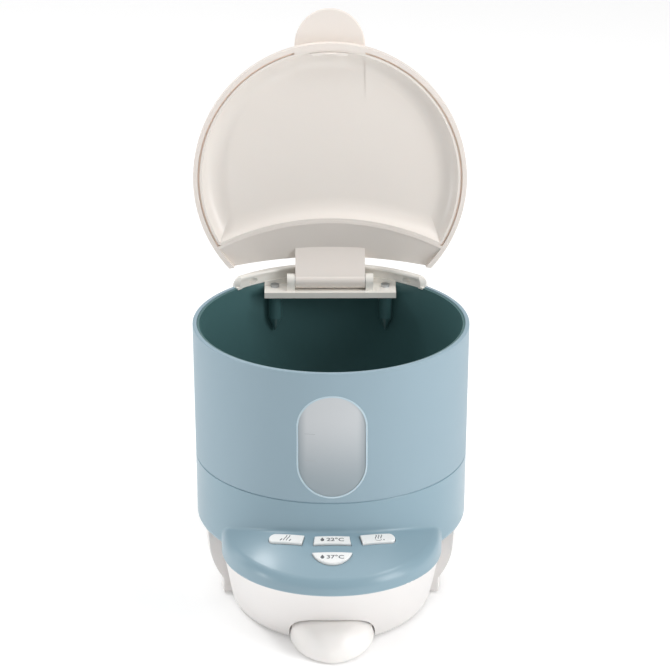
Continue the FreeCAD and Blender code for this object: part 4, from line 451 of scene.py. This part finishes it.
# %% Give each piece its material
DRESS = {
    drum_abs: ["drum_sleeve"],
    panel_abs: ["panel_collar"],
    liner_pp: ["chamber_liner"],
    window_frost: ["window_pane"],
    edge_highlight_silicone: ["window_gasket"],
    base_abs: ["base_shell", "front_bowl"],
    tray_abs: ["drip_tray"],
    cover_pp: ["bottom_cover"],
    foot_rubber: ["rubber_feet"],
    lid_abs: ["lid_shell", "lid_latch"],
    dish_abs: ["lid_liner"],
    lid_silicone: ["lid_seal"],
    plate_silicone: ["plate_seal"],
    hinge_abs: ["hinge_block"],
    key_abs: ["warm_button", "water_22_button", "water_37_button", "sterilise_button"],
    pipe_pp: ["overflow_pipe"],
    spun_steel: ["heating_plate"],
    zinc_steel: ["cover_screws", "liner_screws", "hinge_screws", "clip_screws", "board_screws"],
    ground_steel: ["hinge_pin"],
    strip_steel: ["plate_clips"],
    cast_alloy: ["heating_element"],
    drawn_brass: ["temperature_probe"],
    nickel_brass: ["inlet_pins"],
    fuse_ceramic: ["thermal_fuse"],
    board_laminate: ["power_board", "control_board"],
    part_mouldings: ["power_parts", "tact_switches"],
    green_pa: ["terminal_block"],
    brown_pvc: ["heater_leads", "mains_leads"],
    grey_pvc: ["panel_cable"],
    black_pbt: ["mains_inlet"],
}
dressed = set()
for material, names in DRESS.items():
    for name in names:
        mesh = frame["nodes"][name].data
        mesh.materials.clear()
        mesh.materials.append(material)
        dressed.add(name)
print("dressed", len(dressed), "of", len(frame["nodes"]),
      "left", sorted(set(frame["nodes"]) - dressed))

# %% [markdown]
# ## The keys' own frame
#
# The keys' caps are slices of one large ball, and they all travel along one slanted line.
# The joint's axis points into the machine, so the way out is the opposite. A label is drawn
# flat, in millimetres to the right and up the panel, and is then dropped along that line onto
# the cap with a ray, so it follows the cap's gentle curve.

# %% The keys' frame
KEY_BALL = Vector((0, -26.149, -33.0)) * MM      # middle of the ball that the caps belong to
SIDE_KEY_TURN = math.radians(15.0)               # how far the side keys fan out
press = next(joint for joint in frame["joints"] if joint["name"] == "water_22_press")
OUT = -Vector(press["axis"]).normalized()
RIGHT = Vector((1, 0, 0))
UP_PANEL = OUT.cross(RIGHT)
print("keys' way out", [round(value, 4) for value in OUT],
      "up", [round(value, 4) for value in UP_PANEL])

# %% [markdown]
# ## Putting things in the scene
#
# Blender keeps shapes and objects apart: a mesh, a curve or a lamp is data, and an object
# shows it somewhere. A piece's place is in its mesh, so its object stays at the origin, and
# only the lamps and the camera are moved afterwards. Two helpers are enough for all of them.

# %% Object helpers
def put(name, data):
    """Object that shows the data, at the origin and linked to the scene."""
    thing = bpy.data.objects.new(name, data)
    bpy.context.scene.collection.objects.link(thing)
    return thing


def as_piece(name, shape, material):
    """Turns a bmesh into an object of one material, and frees the bmesh."""
    mesh = bpy.data.meshes.new(name)
    shape.to_mesh(mesh)
    shape.free()
    mesh.materials.append(material)
    return put(name, mesh)


# %% [markdown]
# ## Shapes of the labels
#
# Three shapes are enough: a drop of water, a stroke, and numbers with the degree sign. The
# drop starts as a disc whose upper half is drawn up to a point. A stroke is a smooth curve
# given a round section. The numbers are a text object turned into a mesh, a hair bolder than
# the typeface, as ink spreads. Each shape is drawn one millimetre thick, and is flattened to
# the thickness of ink later, when it is laid on the key.

# %% Label shapes, in millimetres
SLAB = 1.0             # thickness of a shape while it is drawn, half of it below zero
INK_SPREAD = 0.015     # how much bolder the figures are, for letters one unit high
FIGURE_STEPS, STROKE_STEPS, STROKE_BEVEL, DROP_SIDES = 5, 6, 2, 28    # how finely each is cut
DROP_PINCH, PINCH_BEND, TIP_BEND = 0.55, 1.5, 3    # how the drop narrows and rises to its tip


def as_mesh(curve):
    """Mesh of a curve or text, with the curve itself thrown away."""
    holder = put("holder", curve)
    bpy.context.view_layer.update()
    depsgraph = bpy.context.evaluated_depsgraph_get()
    mesh = bpy.data.meshes.new_from_object(holder.evaluated_get(depsgraph))
    bpy.data.objects.remove(holder)
    bpy.data.curves.remove(curve)
    return mesh


def typed(text, width, height):
    """Numbers as a mesh of the given width and height, with their middle at the origin."""
    curve = bpy.data.curves.new("numbers", "FONT")
    curve.body = text
    curve.extrude = SLAB / 2
    curve.offset = INK_SPREAD
    curve.resolution_u = FIGURE_STEPS
    mesh = as_mesh(curve)
    low_x, low_y = [min(vertex.co[axis] for vertex in mesh.vertices) for axis in (0, 1)]
    high_x, high_y = [max(vertex.co[axis] for vertex in mesh.vertices) for axis in (0, 1)]
    mesh.transform(Matrix.Translation((-(low_x + high_x) / 2, -(low_y + high_y) / 2, 0)))
    mesh.transform(Matrix.Diagonal((width / (high_x - low_x), height / (high_y - low_y), 1, 1)))
    return mesh


def stroke(points, width):
    """A smooth line through soft bends, with a round section as wide as the pen."""
    curve = bpy.data.curves.new("stroke", "CURVE")
    curve.dimensions = "3D"
    curve.bevel_depth = width / 2
    curve.bevel_resolution = STROKE_BEVEL
    curve.use_fill_caps = True
    line = curve.splines.new("NURBS")
    line.points.add(len(points) - 1)
    for knot, (x, y) in zip(line.points, points):
        knot.co = (x, y, 0, 1)
    line.order_u = 3
    line.use_endpoint_u = True
    line.resolution_u = STROKE_STEPS
    mesh = as_mesh(curve)
    mesh.transform(Matrix.Diagonal((1, 1, SLAB / width, 1)))
    return mesh


def drop(width, height):
    """A drop of water: a disc with its upper half drawn up to a point."""
    shape = bmesh.new()
    radius = width / 2
    bmesh.ops.create_cone(
        shape, cap_ends=True, segments=DROP_SIDES, radius1=radius, radius2=radius, depth=SLAB)
    for vertex in shape.verts:
        share = max(vertex.co.y, 0) / radius
        vertex.co.x *= 1 - DROP_PINCH * share ** PINCH_BEND
        vertex.co.y += (height - width) * share ** TIP_BEND
    mesh = bpy.data.meshes.new("drop")
    shape.to_mesh(mesh)
    shape.free()
    return mesh


# %% [markdown]
# ## Laying a label on its key
#
# The shapes of one label become one piece. Each vertex finds the key's cap straight below
# it, and its own height decides whether it ends just under the skin or just above it, so
# the ink is a closed film that is partly sunk in the plastic. The piece then rides on the
# key, because the print moves when the key is pressed.

# %% Lay a label on a key
INK_SUNK = 0.05 * MM
INK_PROUD = 0.05 * MM
SAME_POINT = 0.002     # millimetres
RAY_BACK = 150 * MM    # the rays start this far from the ball's middle, well outside the caps


def print_label(name, node, middle, turn, shapes):
    """Shapes are (mesh, (x, y)) in millimetres about the label's middle on the panel."""
    cap = BVHTree.FromObject(frame["nodes"][node], bpy.context.evaluated_depsgraph_get())
    spin = Matrix.Rotation(turn, 4, "Z")
    film = bmesh.new()
    for mesh, (x, y) in shapes:
        mesh.transform(Matrix.Translation((*middle, 0)) @ spin @ Matrix.Translation((x, y, 0)))
        film.from_mesh(mesh)
        bpy.data.meshes.remove(mesh)
    bmesh.ops.remove_doubles(film, verts=film.verts, dist=SAME_POINT)
    missed = 0
    for vertex in film.verts:
        across = KEY_BALL + (RIGHT * vertex.co.x + UP_PANEL * vertex.co.y) * MM
        hit = cap.ray_cast(across + OUT * RAY_BACK, -OUT)[0]
        missed += hit is None
        share = vertex.co.z / SLAB + 0.5
        vertex.co = (hit or across) + OUT * (share * (INK_SUNK + INK_PROUD) - INK_SUNK)
    bmesh.ops.recalc_face_normals(film, faces=film.faces)
    open_edges = sum(len(edge.link_faces) != 2 for edge in film.edges)
    piece = as_piece(name, film, label_ink)
    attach(piece, node)
    print(name, "faces", len(piece.data.polygons), "open edges", open_edges, "missed", missed)


# %% [markdown]
# ## Water keys: a drop and the temperature
#
# The middle key gives water at room warmth and the half-moon key gives it at body warmth.
# Both carry a filled drop on the left and the temperature beside it, in wide thin figures.

# %% Labels of the two water keys
DROP_W, DROP_H, DROP_X, DROP_Y = 1.9, 2.3, -4.9, -0.1
NUMBERS_W, NUMBERS_H, NUMBERS_X = 8.6, 2.2, 1.5
WATER_KEYS = (("water_22_button", "22°C", 5.8), ("water_37_button", "37°C", -5.0))
for node, text, y in WATER_KEYS:
    print_label(node.replace("button", "label"), node, (0, y), 0, [
        (drop(DROP_W, DROP_H), (DROP_X, DROP_Y)),
        (typed(text, NUMBERS_W, NUMBERS_H), (NUMBERS_X, 0))])

# %% [markdown]
# ## Level marks in the window
#
# Two short lines are engraved in the pane's face, near its left edge, to show how much water
# the chamber holds. An engraved line is read by its shade, so each one is a thin closed strip
# with painted shade for its colour, and it stands a hair proud of the frosting. Rays bend it
# over the pane as well, but these go straight back from the front.

# %% Level marks
MARK_W, MARK_FROM, MARK_TO = 0.3, -13.6, -8.4
MARK_HEIGHTS = (113.2, 98.9)
MARK_STEPS = 8         # points along a mark, so that it can bend with the pane
BEFORE_PANE = 20 * MM  # the rays start this far in front of the pane
pane = BVHTree.FromObject(frame["nodes"]["window_pane"], bpy.context.evaluated_depsgraph_get())
across = [MARK_FROM + (MARK_TO - MARK_FROM) * step / MARK_STEPS for step in range(MARK_STEPS + 1)]
marks = bmesh.new()
for height in MARK_HEIGHTS:
    line = stroke([(x, height) for x in across], MARK_W)
    marks.from_mesh(line)
    bpy.data.meshes.remove(line)
for vertex in marks.verts:
    start = Vector((vertex.co.x * MM, pane_low.y - BEFORE_PANE, vertex.co.y * MM))
    hit = pane.ray_cast(start, Vector((0, 1, 0)))[0]
    vertex.co = hit - Vector((0, vertex.co.z / SLAB * 2 * INK_PROUD, 0))
bmesh.ops.recalc_face_normals(marks, faces=marks.faces)
# The strips carry painted shade: the dark inside of each engraved groove.
window_marks = as_piece("window_marks", marks, painted_groove_shade)
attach(window_marks, "machine")
print("window marks", len(window_marks.data.polygons), "faces at", MARK_HEIGHTS, "mm")

# %% [markdown]
# ## Warming and steaming keys
#
# The left key warms a bottle: two curls of warmth rise between two short ticks. The right
# key steams: three slanted waves over a shallow dish with a dot at its side. The waves are
# drawn with a pen 0.45 mm wide, the ticks and the dot with a bolder one, and the dish with a
# finer one. All are turned with the keys, which fan out round the panel.

# %% Labels of the two side keys
PEN = 0.45
TICK_PEN, DISH_PEN, DOT_PEN = PEN * 1.3, PEN * 0.6, PEN * 1.5
SIDE_LABEL_X, SIDE_LABEL_Y = 22.9, 9.0
CURL_LEAN = 0.9        # how far to the right a wave ends
CURL = ((0, 0), (-0.35, 0.3), (0.35, 0.65), (0.0, 1.0))    # its sway, and share of its height


def curl(x, y, height):
    """One wave of steam that leans to the side as it rises."""
    return stroke([(x + sway + CURL_LEAN * rise, y + height * rise) for sway, rise in CURL], PEN)


def print_side_label(name, node, side, shapes):
    """Label of a side key: side is -1 for the left one and 1 for the right one."""
    middle = (side * SIDE_LABEL_X, SIDE_LABEL_Y)
    print_label(name, node, middle, side * SIDE_KEY_TURN, [(mesh, (0, 0)) for mesh in shapes])


warmth = [curl(x, -1.5, 3.4) for x in (-0.9, 0.6)]
ticks = [stroke([(-2.7, -1.7), (-2.3, -1.1), (-1.9, -0.5)], TICK_PEN),
         stroke([(2.0, -1.7), (2.4, -1.1), (2.6, -0.6)], TICK_PEN)]
print_side_label("warm_label", "warm_button", -1, warmth + ticks)
steam = [curl(x, -0.6, 2.5) for x in (-1.5, -0.1, 1.3)]
dish = stroke([(-1.9, -1.2), (-0.9, -1.8), (0.7, -1.8), (1.5, -1.3)], DISH_PEN)
dot = stroke([(2.4, -1.6), (2.8, -1.3)], DOT_PEN)
print_side_label("sterilise_label", "sterilise_button", 1, [*steam, dish, dot])

# %% [markdown]
# ## Floor
#
# The machine stands on a sweep of white paper. Paper is matt, so it takes only soft shadows,
# and it is wide enough that its edge stays far away from every side. A faint glow of its own
# lifts it to white, as lamps under a real studio table do.

# %% Floor
FLOOR_HALF = 12        # metres
FIBRE_MM = 2.0
PAPER_ROUGHNESS, PAPER_GLOW = 0.9, 0.12
paper, tree, shader, place = new_material("white_paper_sweep")
fibre = add(tree, "ShaderNodeTexNoise", sockets={
    "Vector": place, "Scale": per_metre(FIBRE_MM), "Detail": 3.0})
tone = add(tree, "ShaderNodeMix", {"data_type": "RGBA"}, {
    FACTOR: fibre.outputs["Fac"], COLOUR_A: linear("FFFFFF"), COLOUR_B: linear("FBFBFB")})
fill(tree, shader, {
    "Base Color": tone.outputs[MIXED], "Roughness": PAPER_ROUGHNESS,
    "Emission Color": linear("FFFFFF"), "Emission Strength": PAPER_GLOW})
ground = bmesh.new()
bmesh.ops.create_grid(ground, x_segments=1, y_segments=1, size=FLOOR_HALF)
floor = as_piece("floor", ground, paper)
print("floor", FLOOR_HALF * 2, "m across")

# %% [markdown]
# ## Light
#
# What the eye sees in smooth plastic is the lamps, so a studio has large soft ones and
# chooses where each of them shows. An even sky and a lamp overhead fill the shadows.
# The key softbox at the right front models the drum. Two oval softboxes high at the sides are
# the pale patches on the panel, and their roll makes the patches lean. Three upright strips
# stand low at the sides, and light the drum's left edge, the panel's rim and the base.

# %% Light
SKY_STRENGTH = 0.35
MIDDLE, PANEL_SPOT = (0, 0, 0.12), (0, -0.075, 0.05)    # what the lamps face


def soft_light(name, place, target, power, width, height, shape="RECTANGLE", roll=0.0):
    """A softbox that faces its target: watts, metres, and its turn about its own middle."""
    light = bpy.data.lights.new(name, "AREA")
    light.shape = shape
    light.energy, light.size, light.size_y = power, width, height
    lamp = put(name, light)
    lamp.location = place
    facing = (Vector(target) - Vector(place)).to_track_quat("-Z", "Y").to_matrix()
    lamp.rotation_euler = (facing @ Matrix.Rotation(math.radians(roll), 3, "Z")).to_euler()


sky = bpy.data.worlds.new("studio_sky")
sky.use_nodes = True
fill(sky.node_tree, sky.node_tree.nodes["Background"], {
    "Color": linear("FFFFFF"), "Strength": SKY_STRENGTH})
bpy.context.scene.world = sky
bpy.context.scene.view_settings.view_transform = "Standard"
soft_light("ceiling", (0, 0.2, 2.3), MIDDLE, 24, 2.4, 2.4)
soft_light("key_softbox", (1.5, -0.9, 0.75), MIDDLE, 12.5, 0.6, 1.0)
soft_light("left_softbox", (-0.92, 0.27, 1.46), PANEL_SPOT, 7.0, 0.6, 0.26, "ELLIPSE", 30)
soft_light("right_softbox", (0.96, -0.28, 1.44), PANEL_SPOT, 3.5, 0.5, 0.3, "ELLIPSE", -20)
soft_light("left_strip", (-1.5, 0.45, 0.3), MIDDLE, 3, 0.4, 1.2)
soft_light("left_low_strip", (-1.4, -0.52, 0.2), MIDDLE, 2.6, 0.06, 0.4)
soft_light("right_low_strip", (1.4, -0.52, 0.2), MIDDLE, 1.2, 0.06, 0.4)
print("lamps", len(bpy.data.lights), "sky", SKY_STRENGTH)

# %% [markdown]
# ## Camera
#
# The camera stands two metres away and looks down on the machine through a long lens, so the
# drum keeps nearly straight sides. Its place is measured from the drum's axis, which it looks
# at a little from the side. The lens is worked out from its focal length in pixels of the
# finished picture, and the small shift moves the machine sideways in it.

# %% Camera
FORWARD, EYE_Z = 1.8784, 0.8935        # metres in front of the axis, and above the floor
LOOK_DOWN, LOOK_ASIDE = math.radians(21.9), math.radians(0.45)
FRAME_PX, FOCAL_PX, SHIFT_PX = 670, 4000, 4
SENSOR_MM = 36
camera_data = bpy.data.cameras.new("camera")
camera_data.sensor_width = SENSOR_MM
camera_data.lens = SENSOR_MM * FOCAL_PX / FRAME_PX
camera_data.shift_x = SHIFT_PX / FRAME_PX
camera = put("camera", camera_data)
aside = Matrix.Rotation(-LOOK_ASIDE, 4, "Z")
camera.location = aside @ Vector((0, -FORWARD, EYE_Z)) + AXIS
look = aside @ Vector((0, math.cos(LOOK_DOWN), -math.sin(LOOK_DOWN)))
camera.rotation_euler = look.to_track_quat("-Z", "Y").to_euler()
bpy.context.scene.camera = camera
print("camera", [round(value, 4) for value in camera.location],
      "lens", round(camera_data.lens, 1), "mm")
